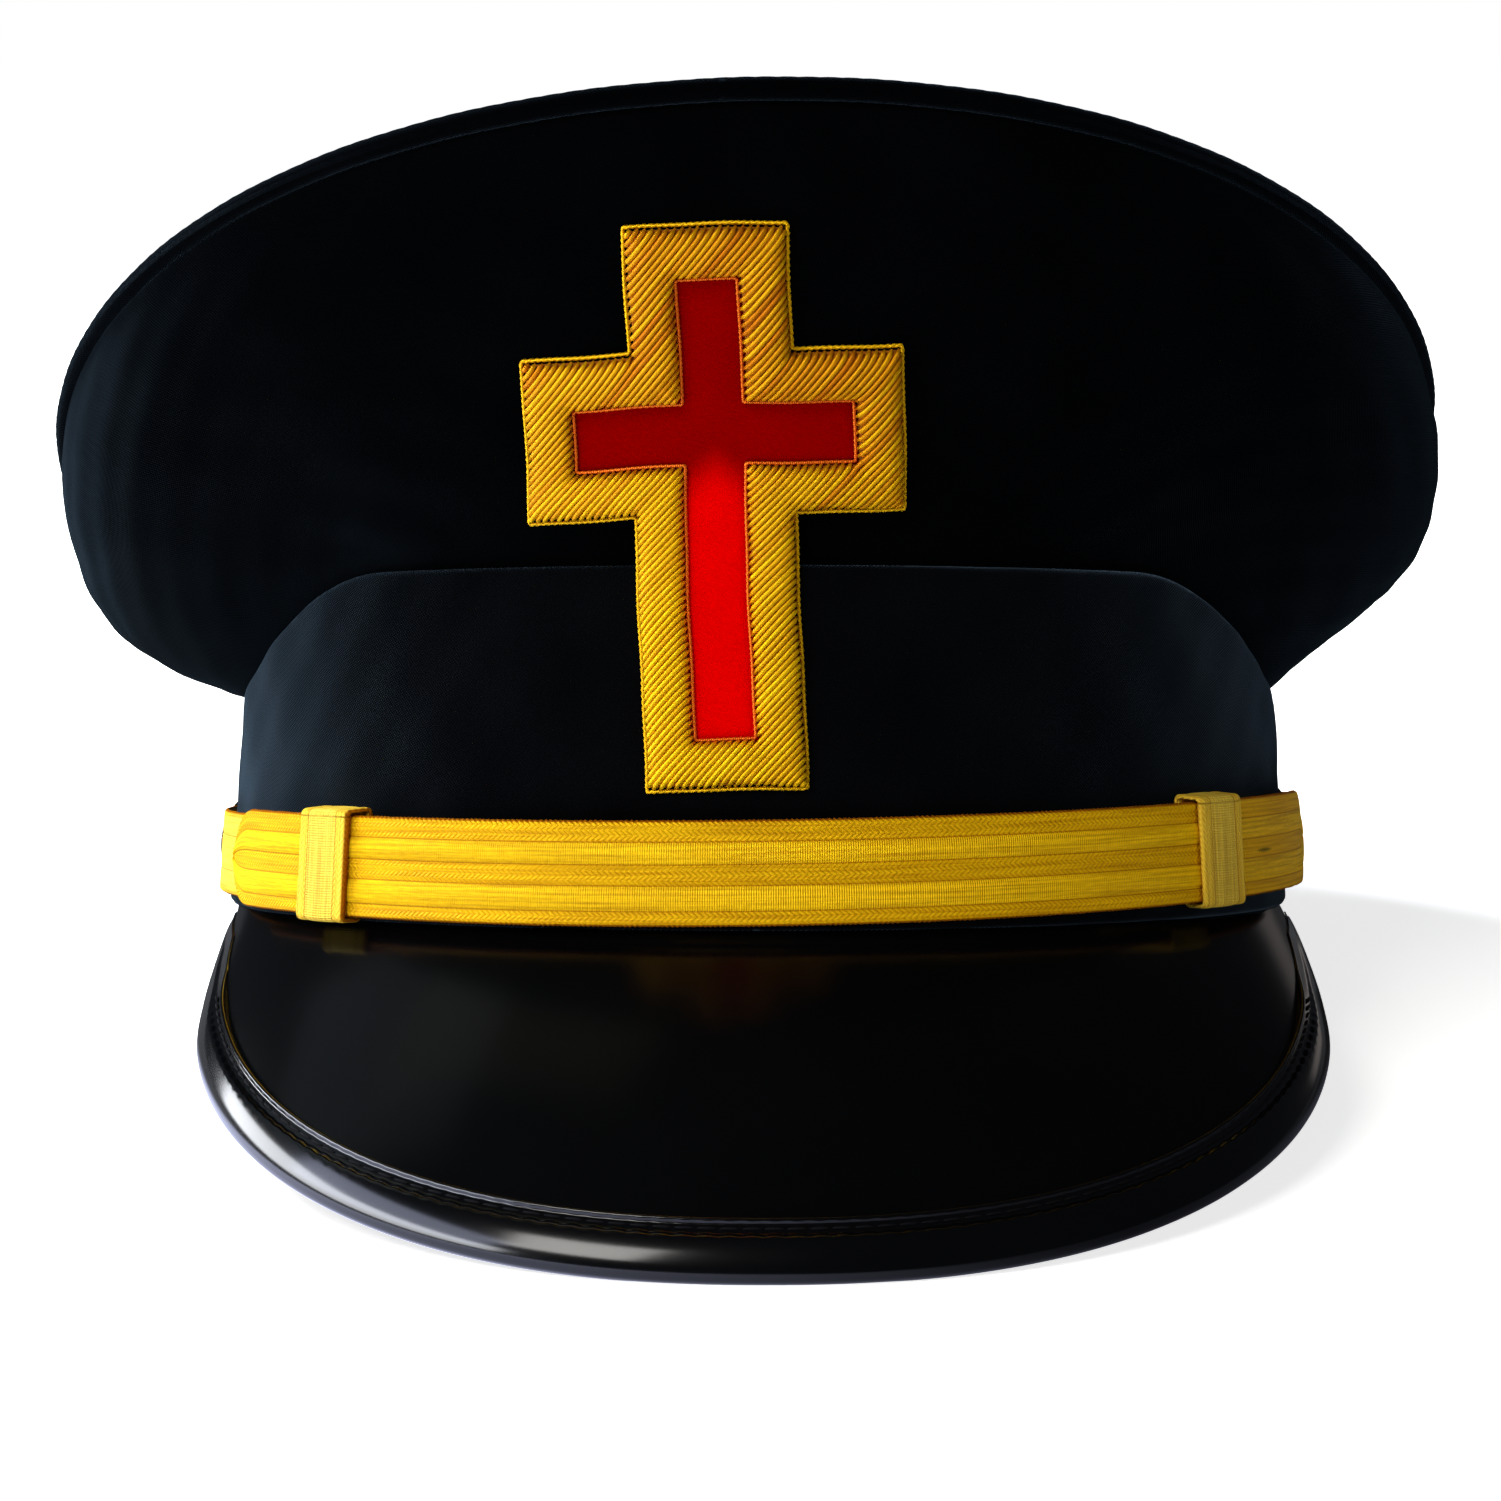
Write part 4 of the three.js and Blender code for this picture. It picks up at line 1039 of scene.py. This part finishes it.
def make_slide(name, azimuth):
    """Rings across the strip, carried round the loop: a ribbed outer side and a plain inner side."""
    outer, run = rounded_loop(SLIDE_OUTER)
    inner = rounded_loop(SLIDE_INNER)[0]
    share = np.linspace(0, 1, 30)[None, :]
    drop = edge_drop(SLIDE_WIDTH * np.minimum(share, 1 - share), SLIDE_EDGE)
    lift = rib_height(share * SLIDE_WIDTH, SLIDE_RIBS) - drop
    away = unit(outer - inner)
    outside = outer[:, None] + away[:, None] * lift[..., None]
    inside = np.broadcast_to(inner[:, None], (SLIDE_STEPS, 8, 2))
    section = np.concatenate([outside, inside], 1)
    across = np.concatenate([share, np.linspace(1, 0, 8)[None, :]], 1) * SLIDE_WIDTH
    depth, height = section[..., 0], section[..., 1]
    backness = 1 - smooth_step(depth, SLIDE_OUTER["back"] * MM, SLIDE_OUTER["front"] * MM)
    behind = backness * smooth_step(height, outer.mean(0)[1], SLIDE_OUTER["high"] * MM)
    skew = -np.sign(azimuth) * SLIDE_SKEW * behind
    turned = azimuth + (across - SLIDE_WIDTH / 2 + skew) / LACE_RADIUS
    points = band_point(turned, strap_bottom(turned) + height + SLIDE_BACK_RISE * behind, depth)
    uv = flat_map(run[:, None], across)
    piece = mesh_piece(name + "_lace", laid_down(points), ring_faces(points), SLIDE_LACE, uv)
    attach(piece, "root")
    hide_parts(name)


for slide, slide_azimuth in SLIDE_AZIMUTHS.items():
    make_slide(slide, slide_azimuth)

# Side buttons.
# Two plain domed gilt buttons hold the strap's ends to the band. The cap hides them in the photo,
# so they have no device, only a turned rim.

BUTTON_AZIMUTH = math.radians(98)
BUTTON_OUT = 2.6 * MM
BUTTON_SIDES = 64
# The button's half section from its back: radius and height in millimetres.
BUTTON_BACK = np.array([(6.6, 0.0), (7.0, 0.3), (7.0, 0.8), (6.75, 1.05), (6.4, 1.0), (6.2, 0.85)])
BUTTON_DOME = {"radius": 6.1 * MM, "base": 0.85 * MM, "height": 2.35 * MM}


def polished_gilt():
    """Thin gilding over brass: warm and bright, with a few dull patches."""
    material, tree = new_material("polished_gilt")
    patches = noise(tree, added(tree, "TexCoord", "Object", {}), 260, 4)
    return dressed(material, {
        "Base Color": blend(tree, patches, (0.55, 0.33, 0.07), (0.86, 0.6, 0.2)),
        "Roughness": ramp(tree, patches, 0.0, 1.0, 0.14, 0.34, kind="LINEAR"),
        "Metallic": 1.0,
    })


GILT = polished_gilt()


def make_button(name, side):
    """The half section turned about the normal of the band, with one point at each pole."""
    dome = np.linspace(0, math.pi / 2, 14)[:-1]
    radius = np.concatenate([BUTTON_BACK[:, 0] * MM, BUTTON_DOME["radius"] * np.cos(dome)])
    domed = BUTTON_DOME["base"] + BUTTON_DOME["height"] * np.sin(dome)
    height = np.concatenate([BUTTON_BACK[:, 1] * MM, domed])
    azimuth = side * BUTTON_AZIMUTH
    level = strap_bottom(azimuth) + STRAP_HEIGHT / 2
    out = surface_normal(lambda a, rise: band_point(a, level + rise, 0), azimuth, 0.0)
    beside = unit(np.cross(UP, out))
    centre = band_point(azimuth, level, 0) + out * BUTTON_OUT
    line = centre + height[:, None] * out
    upward = np.cross(out, beside)
    rings = round_section(line, beside, upward, radius[:, None, None], full_turn(BUTTON_SIDES))
    tips = np.stack([centre, centre + (BUTTON_DOME["base"] + BUTTON_DOME["height"]) * out])
    points, faces = capped_rings(rings, tips)
    piece = mesh_piece(name + "_gilt", laid_down(points), faces, GILT)
    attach(piece, "root")
    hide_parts(name)


make_button("button_left", -1)
make_button("button_right", 1)

# Cross patch.
# A Latin cross sewn over the join of band and crown. Its border is gold bullion: short lengths of
# coiled gilt wire, all laid at one slant over a felt pad and sewn down at both ends. A thin gold
# cord edges it outside, an orange one inside, and a red satin field lies sunk between.

CROSS_FOOT = (-4.6 * MM, 19.9 * MM)
CROSS_LEAN = math.radians(2.05)
CROSS_HEIGHT = 76 * MM
CROSS_WIDTH = 51.5 * MM
CROSS_ARM = 21.4 * MM
CROSS_BORDER = 6.3 * MM
CROSS_BAR_CENTRE = 49.2 * MM
PATCH_STAND_OFF = 0.45 * MM
PATCH_STEP = 0.4 * MM
# The table of the ground under the patch: first and last place in millimetres, across and up.
GROUND_ACROSS = (-36, 30)
GROUND_UP = (16, 104)
BRIDGE_LOW = 44 * MM
BRIDGE_HIGH = 76 * MM
PAD_EDGE = 0.45 * MM
PAD_RISE = 1.9 * MM
PAD_INSET = 0.25 * MM
PAD_UNDER_STRANDS = 0.15 * MM
PAD_STEP = 1.0 * MM
STRAND_SLANT = math.radians(47)
STRAND_PITCH = 0.74 * MM
STRAND_RADIUS = 0.37 * MM
STRAND_SHORTEST = 0.6 * MM
STRAND_STEPS = 14
STRAND_SIDES = 7
FIELD_RISE = 0.08 * MM
FIELD_PUFF = 0.5 * MM
FIELD_CELL = 0.9 * MM
FIELD_UNDER_BORDER = 0.2 * MM
FIELD_PUFF_FROM_EDGE = 4 * MM
CORD_STEP = 0.22 * MM
CORD_SWELL = 0.22
CORD_SIDES = 10
EDGE_CORD = {"out": 0.34 * MM, "radius": 0.27 * MM, "twist": 0.9 * MM, "up": 0.2 * MM}
INNER_CORD = {"out": -0.25 * MM, "radius": 0.22 * MM, "twist": 0.8 * MM, "up": 0.62 * MM}


def band_depth(x, height):
    """How far forward the band's face is: the ellipse solved for y."""
    across = BAND_HALF_WIDTH - BAND_TAPER * height
    along = BAND_HALF_LENGTH - BAND_TAPER * height
    return -along * np.sqrt(1 - (x / across) ** 2)


def crown_depth(x, height):
    """How far forward the crown's face is: azimuth and rise are stepped until x and height agree."""
    azimuth = x / CROWN_HALF_WIDTH
    rise = np.full_like(azimuth, 0.5)
    for _ in range(40):
        here = crown_face(azimuth, rise)
        azimuth = azimuth + (x - here[..., 0]) / CROWN_HALF_WIDTH
        rise = rise + (height - here[..., 2]) / (2 * (CROWN_FRONT_HEIGHT - BAND_FRONT_HEIGHT))
    return crown_face(azimuth, rise)[..., 1]


def depth_table():
    """The patch's ground, as columns and rows of depth one millimetre apart: the band below, the
    crown above, and a cubic between them that keeps both slopes."""
    x = np.arange(*GROUND_ACROSS) * MM
    height = np.arange(*GROUND_UP) * MM
    across, up = np.meshgrid(x, height, indexing="ij")
    span = BRIDGE_HIGH - BRIDGE_LOW
    low, high = band_depth(x, BRIDGE_LOW), crown_depth(x, np.full_like(x, BRIDGE_HIGH))
    low_slope = (low - band_depth(x, BRIDGE_LOW - MM)) * span / MM
    high_slope = (crown_depth(x, np.full_like(x, BRIDGE_HIGH + MM)) - high) * span / MM
    s = (up - BRIDGE_LOW) / span
    bridge = (low[:, None] * (2 * s ** 3 - 3 * s ** 2 + 1) + low_slope[:, None] * (s ** 3 - 2 * s ** 2 + s)
              + high[:, None] * (3 * s ** 2 - 2 * s ** 3) + high_slope[:, None] * (s ** 3 - s ** 2))
    crown = crown_depth(across, np.maximum(up, BRIDGE_HIGH))
    return x, height, np.where(s <= 0, band_depth(across, up), np.where(s >= 1, crown, bridge))


GROUND_X, GROUND_HEIGHT, GROUND_DEPTH = depth_table()


def near_four(place, table):
    """The table's place below, and the cubic weights of the four nearest places."""
    step = (place - table[0]) / MM
    low = np.clip(np.floor(step).astype(int), 1, len(table) - 3)
    t = step - low
    return low, np.stack([
        -t ** 3 + 2 * t ** 2 - t,
        3 * t ** 3 - 5 * t ** 2 + 2,
        -3 * t ** 3 + 4 * t ** 2 + t,
        t ** 3 - t ** 2,
    ]) / 2


def patch_ground(across, up):
    """A point of the ground under the leaning cross. The needlework is a little uneven: two sine
    waves move each place by up to a fifth of a millimetre. The depth is the weighted sum over the
    four nearest columns and rows of the table."""
    across, up = (
        across + 0.16 * MM * np.sin(up / (7.1 * MM) + 0.8) + 0.05 * MM * np.sin(up / (2.3 * MM)),
        up + 0.16 * MM * np.sin(across / (6.3 * MM) + 2.0) + 0.05 * MM * np.sin(across / (2.1 * MM)),
    )
    x = CROSS_FOOT[0] + across * math.cos(CROSS_LEAN) - up * math.sin(CROSS_LEAN)
    height = CROSS_FOOT[1] + across * math.sin(CROSS_LEAN) + up * math.cos(CROSS_LEAN)
    i, columns = near_four(x, GROUND_X)
    j, rows = near_four(height, GROUND_HEIGHT)
    depth = sum(columns[a] * rows[b] * GROUND_DEPTH[i + a - 1, j + b - 1]
                for a in range(4) for b in range(4))
    return np.stack([x, depth, height], -1)


def patch_frame(plan, out):
    """Points at a height over the ground, from places across and up, with the ground's normals."""
    across, up, out = np.broadcast_arrays(plan[..., 0], plan[..., 1], out)
    normal = surface_normal(patch_ground, across, up, PATCH_STEP)
    return patch_ground(across, up) + normal * (PATCH_STAND_OFF + out)[..., None], normal


def cross_corners(inset):
    """The twelve corners of the cross, drawn in from its edge."""
    arm, reach = CROSS_ARM / 2 - inset, CROSS_WIDTH / 2 - inset
    low, high = CROSS_BAR_CENTRE - arm, CROSS_BAR_CENTRE + arm
    foot, head = inset, CROSS_HEIGHT - inset
    return np.array([
        (-arm, foot), (arm, foot), (arm, low), (reach, low), (reach, high), (arm, high),
        (arm, head), (-arm, head), (-arm, high), (-reach, high), (-reach, low), (-arm, low),
    ])


def in_cross(plan, inset):
    """Which places lie in the upright or the bar, both drawn in from their edges."""
    across, up = plan[..., 0], plan[..., 1]
    arm, reach = CROSS_ARM / 2 - inset, CROSS_WIDTH / 2 - inset
    upright = (np.abs(across) < arm) & (up > inset) & (up < CROSS_HEIGHT - inset)
    bar = (np.abs(across) < reach) & (np.abs(up - CROSS_BAR_CENTRE) < arm)
    return upright | bar


def from_outline(plan, inset):
    """The distance to the nearest side of the cross's outline."""
    start = cross_corners(inset)
    side = np.roll(start, -1, 0) - start
    away = plan[..., None, :] - start
    share = np.clip((away * side).sum(-1) / (side ** 2).sum(-1), 0, 1)
    return np.linalg.norm(away - side * share[..., None], axis=-1).min(-1)


def pad_height(outer, inner):
    """The pad's section: a flattened half ellipse over the share of the way across the border."""
    share = outer / (outer + inner + 1e-9)
    return PAD_EDGE + PAD_RISE * np.clip(1 - np.abs(2 * share - 1) ** 2.6, 0, 1) ** 0.5


def side_counts(corners, step):
    """How many steps each side of a closed outline takes."""
    return np.ceil(np.linalg.norm(np.roll(corners, -1, 0) - corners, axis=1) / step).astype(int)


def along_outline(corners, counts):
    """Points along a closed outline, each side cut into its count of equal steps."""
    sides = zip(corners, np.roll(corners, -1, 0), counts)
    return np.concatenate([start + (end - start) * (np.arange(n) / n)[:, None] for start, end, n in sides])


def felt():
    """Dull amber felt, seen only between the strands."""
    material, tree = new_material("amber_felt")
    fluff = noise(tree, added(tree, "TexCoord", "Object", {}), 1800, 3)
    return dressed(material, {
        "Base Color": blend(tree, fluff, (0.35, 0.09, 0.002), (0.6, 0.2, 0.004)),
        "Normal": bump(tree, fluff, 1.0, 0.1 * MM),
        "Roughness": 0.9,
        "Specular IOR Level": 0.2,
    })


def make_pad():
    """A closed section across the border, carried round the mitred outline: the pad's height on top,
    and the ground below."""
    counts = side_counts(cross_corners(0), PAD_STEP)
    outer = along_outline(cross_corners(PAD_INSET), counts)
    inner = along_outline(cross_corners(CROSS_BORDER - PAD_INSET), counts)
    share = np.concatenate([np.linspace(0, 1, 16), np.linspace(1, 0, 5)])
    on_top = np.arange(len(share)) < 16
    plan = outer[:, None] + (inner - outer)[:, None] * share[None, :, None]
    width = CROSS_BORDER - 2 * PAD_INSET
    top = pad_height(share * width, (1 - share) * width) - PAD_UNDER_STRANDS
    height = np.where(on_top, top, 0)
    points = patch_frame(plan, height)[0]
    piece = mesh_piece("cross_pad", laid_down(points), ring_faces(points), felt())
    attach(piece, "root")
    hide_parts("cross_border")


def strand_runs():
    """Where slanting lines a pitch apart cross the border: the two ends of each strand."""
    ahead = np.array([math.cos(STRAND_SLANT), math.sin(STRAND_SLANT)])
    beside = np.array([-ahead[1], ahead[0]])
    fine = 0.08 * MM
    along = np.arange(-60 * MM, 100 * MM, fine)
    ends = []
    for line in np.arange(-40 * MM, 80 * MM, STRAND_PITCH):
        plan = line * beside + along[:, None] * ahead
        inside = in_cross(plan, -0.05 * MM) & ~in_cross(plan, CROSS_BORDER)
        change = np.flatnonzero(np.diff(inside.astype(int)))
        for start, end in zip(change[::2], change[1::2]):
            if (end - start) * fine > STRAND_SHORTEST:
                ends.append((plan[start + 1], plan[end]))
    return np.array(ends)


def gilt_wire(name, bright, deep, pitch):
    """Coiled gilt wire on a UV map in millimetres: fine turns along its length, and a tone for each
    strand from the point attribute named tone, which on the bullion also holds painted shade."""
    material, tree = new_material(name)
    axes = added(tree, "SeparateXYZ", None, {0: added(tree, "UVMap", "UV", {})})
    coil = maths(tree, "SINE", maths(tree, "MULTIPLY", axes["X"], 2 * math.pi / pitch))
    tone = added(tree, "Attribute", "Fac", {}, attribute_name="tone")
    return dressed(material, {
        "Base Color": blend(tree, tone, deep, bright),
        "Normal": bump(tree, coil, 0.6, 0.03 * MM),
        "Metallic": 0.5,
        "Roughness": 0.4,
        "Specular IOR Level": 0.1,
    })


BULLION = gilt_wire("gold_bullion_wire", (0.9, 0.55, 0.003), (0.56, 0.17, 0.001), 0.16)
INNER_THREAD = gilt_wire("inner_cord_thread", (0.8, 0.17, 0.01), (0.6, 0.07, 0.004), 0.3)


def tone_each_point(piece, tones_with_painted_shade):
    """Stores a tone for each point, which the material reads; on the field and the bullion it carries
    painted light and shade.
    """
    layer = piece.data.attributes.new("tone", "FLOAT", "POINT")
    layer.data.foreach_set("value", np.ascontiguousarray(tones_with_painted_shade, float).ravel())


def make_strands():
    """Each strand is a thin tube over the pad, bent down at both ends where the needle takes it."""
    ends = strand_runs()
    count = len(ends)
    share = np.linspace(0, 1, STRAND_STEPS)
    plan = ends[:, None, 0] + (ends[:, 1] - ends[:, 0])[:, None] * share[None, :, None]
    chance = np.random.default_rng(7)
    lift = chance.normal(0, 0.05, (count, 1)) * MM
    height = pad_height(from_outline(plan, 0), from_outline(plan, CROSS_BORDER))
    centre, normal = patch_frame(plan, height + lift)
    along = unit(np.gradient(centre, axis=1))
    side = unit(np.cross(along, normal))
    thin = np.where((share == 0) | (share == 1), 0.55, 1.0)
    radius = (STRAND_RADIUS * thin)[None, :, None, None] * (1 + chance.normal(0, 0.03, (count, 1, 1, 1)))
    ring = full_turn(STRAND_SIDES)
    rings = round_section(centre, side, np.cross(side, along), radius, ring)
    length = np.linalg.norm(ends[:, 1] - ends[:, 0], axis=-1)
    uv = flat_map((length[:, None] * share)[..., None], ring * STRAND_RADIUS)
    faces = many_strip_faces(*rings.shape[:3])
    piece = mesh_piece("cross_bullion", laid_down(rings), faces, BULLION, uv)
    # Painted shade: each strand's tone is random, less a darkening towards the top of the cross.
    level = ends[:, 0, 1].reshape(-1, 1, 1) / CROSS_HEIGHT
    tones_with_painted_shade = chance.normal(0.85, 0.16, (count, 1, 1)) - 0.55 * smooth_step(level, 0.2, 0.8)
    tone_each_point(piece, np.broadcast_to(np.clip(tones_with_painted_shade, 0, 1), rings.shape[:3]))
    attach(piece, "root")
    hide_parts("cross_border")


def softened(plan):
    """Each point moved to a quarter of both neighbours and half of itself."""
    return (np.roll(plan, 1, 0) + 2 * plan + np.roll(plan, -1, 0)) / 4


def make_edge_cord(name, cord, inset, material):
    """A two-ply cord along the outline. Its radius swells twice round the section, and the swell
    turns once in each twist length."""
    corners = cross_corners(inset - cord["out"])
    plan = softened(softened(along_outline(corners, side_counts(corners, CORD_STEP))))
    centre, normal = patch_frame(plan, cord["up"])
    side = unit(np.cross(np.roll(centre, -1, 0) - np.roll(centre, 1, 0), normal))
    steps = np.linalg.norm(np.roll(centre, -1, 0) - centre, axis=-1)
    run = np.cumsum(steps) - steps
    phase = 2 * math.pi * round(steps.sum() / cord["twist"]) * run / steps.sum()
    ring = full_turn(CORD_SIDES)
    radius = cord["radius"] * (1 + CORD_SWELL * np.cos(2 * ring[None, :] - phase[:, None]))
    points = round_section(centre, side, normal, radius[..., None], ring)
    uv = flat_map(run[:, None], ring * cord["radius"])
    piece = mesh_piece(name, laid_down(points), ring_faces(points), material, uv)
    tone_each_point(piece, np.full(points.shape[:2], 0.7))
    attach(piece, "root")
    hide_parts("cross_border")


def red_satin():
    """Red satin: a smooth weave of deep red, with painted light on the leg and painted shade above it
    and near the edge. The point attribute named tone says how much light is painted."""
    material, tree, weave = woven_material(
        "red_satin", (0.8, 0.75, 0.75), (1.0, 1.0, 1.0), 0.4, 0.02 * MM, 0.12)
    tone = added(tree, "Attribute", "Fac", {}, attribute_name="tone")
    # Painted light and shade: the deep red stands for the shaded upper part, and the bright red for the lit
    # leg.
    lit_and_shaded_reds = blend(tree, tone, (0.26, 0.0, 0.0), (0.84, 0.0, 0.0))
    return dressed(material, {
        "Base Color": blend(tree, 1, weave, lit_and_shaded_reds, "MULTIPLY"),
        "Roughness": 0.55,
        "Specular IOR Level": 0.0,
    })


def cell_lines(places):
    """Lines through all the places given, and between them equal cells no wider than a cell."""
    parts = []
    for low, high in zip(places, places[1:]):
        cells = max(2, math.ceil((high - low) / FIELD_CELL) + 1)
        parts.append(np.linspace(low, high, cells)[:-1])
    return np.concatenate(parts + [places[-1:]])


def make_field():
    """A sheet of square cells over the inner cross, a little puffed away from its edge, with a flat
    back and upright sides. Its tone is painted light on the leg, and painted shade above it and near the
    edge."""
    inset = CROSS_BORDER - FIELD_UNDER_BORDER
    corners = cross_corners(inset)
    lines = [cell_lines(np.unique(np.round(corners[:, axis], 7))) for axis in range(2)]
    middles = [(line[1:] + line[:-1]) / 2 for line in lines]
    plan, cells = (np.stack(np.meshgrid(*places, indexing="ij"), -1) for places in (lines, middles))
    covered = in_cross(cells, inset)
    puff = FIELD_PUFF * smooth_step(from_outline(plan, inset), 0, FIELD_PUFF_FROM_EDGE)
    sheet = np.stack([patch_frame(plan, height)[0] for height in (0, FIELD_RISE + puff)])
    count = plan[..., 0].size
    number = np.arange(count).reshape(plan.shape[:2])
    cell = np.stack([number[:-1, :-1], number[1:, :-1], number[1:, 1:], number[:-1, 1:]], -1)
    ringed = np.pad(covered, 1)
    groups = [cell[covered][:, ::-1], cell[covered] + count]
    neighbours = [ringed[1:-1, :-2], ringed[2:, 1:-1], ringed[1:-1, 2:], ringed[:-2, 1:-1]]
    for k, neighbour in enumerate(neighbours):
        edge = cell[covered & ~neighbour][:, [k, (k + 1) % 4]]
        groups.append(np.concatenate([edge, edge[:, ::-1] + count], 1))
    used, flat = np.unique(np.concatenate([group.ravel() for group in groups]), return_inverse=True)
    points = laid_down(sheet).reshape(-1, 3)[used]
    plan = np.tile(plan.reshape(-1, 2), (2, 1))[used]
    piece = mesh_piece("cross_field_satin", points, [flat.reshape(-1, 4)], red_satin(), plan / MM, sharp=50)
    # Painted light on the leg below the bar, and painted shade above it and along the field's edge.
    bend = CROSS_BAR_CENTRE - CROSS_ARM / 2 + CROSS_BORDER
    bright = 1 - smooth_step(plan[:, 1] + 0.7 * np.abs(plan[:, 0]), bend - 4 * MM, bend + 4 * MM)
    painted_edge_shade = 1 - smooth_step(from_outline(plan, inset), 0, 1.6 * MM)
    tone_each_point(piece, bright * (1 - 0.4 * painted_edge_shade))
    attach(piece, "root")
    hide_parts("cross_field")


make_pad()
make_strands()
make_edge_cord("cross_edge_cord", EDGE_CORD, 0, BULLION)
make_edge_cord("cross_inner_cord", INNER_CORD, CROSS_BORDER, INNER_THREAD)
make_field()
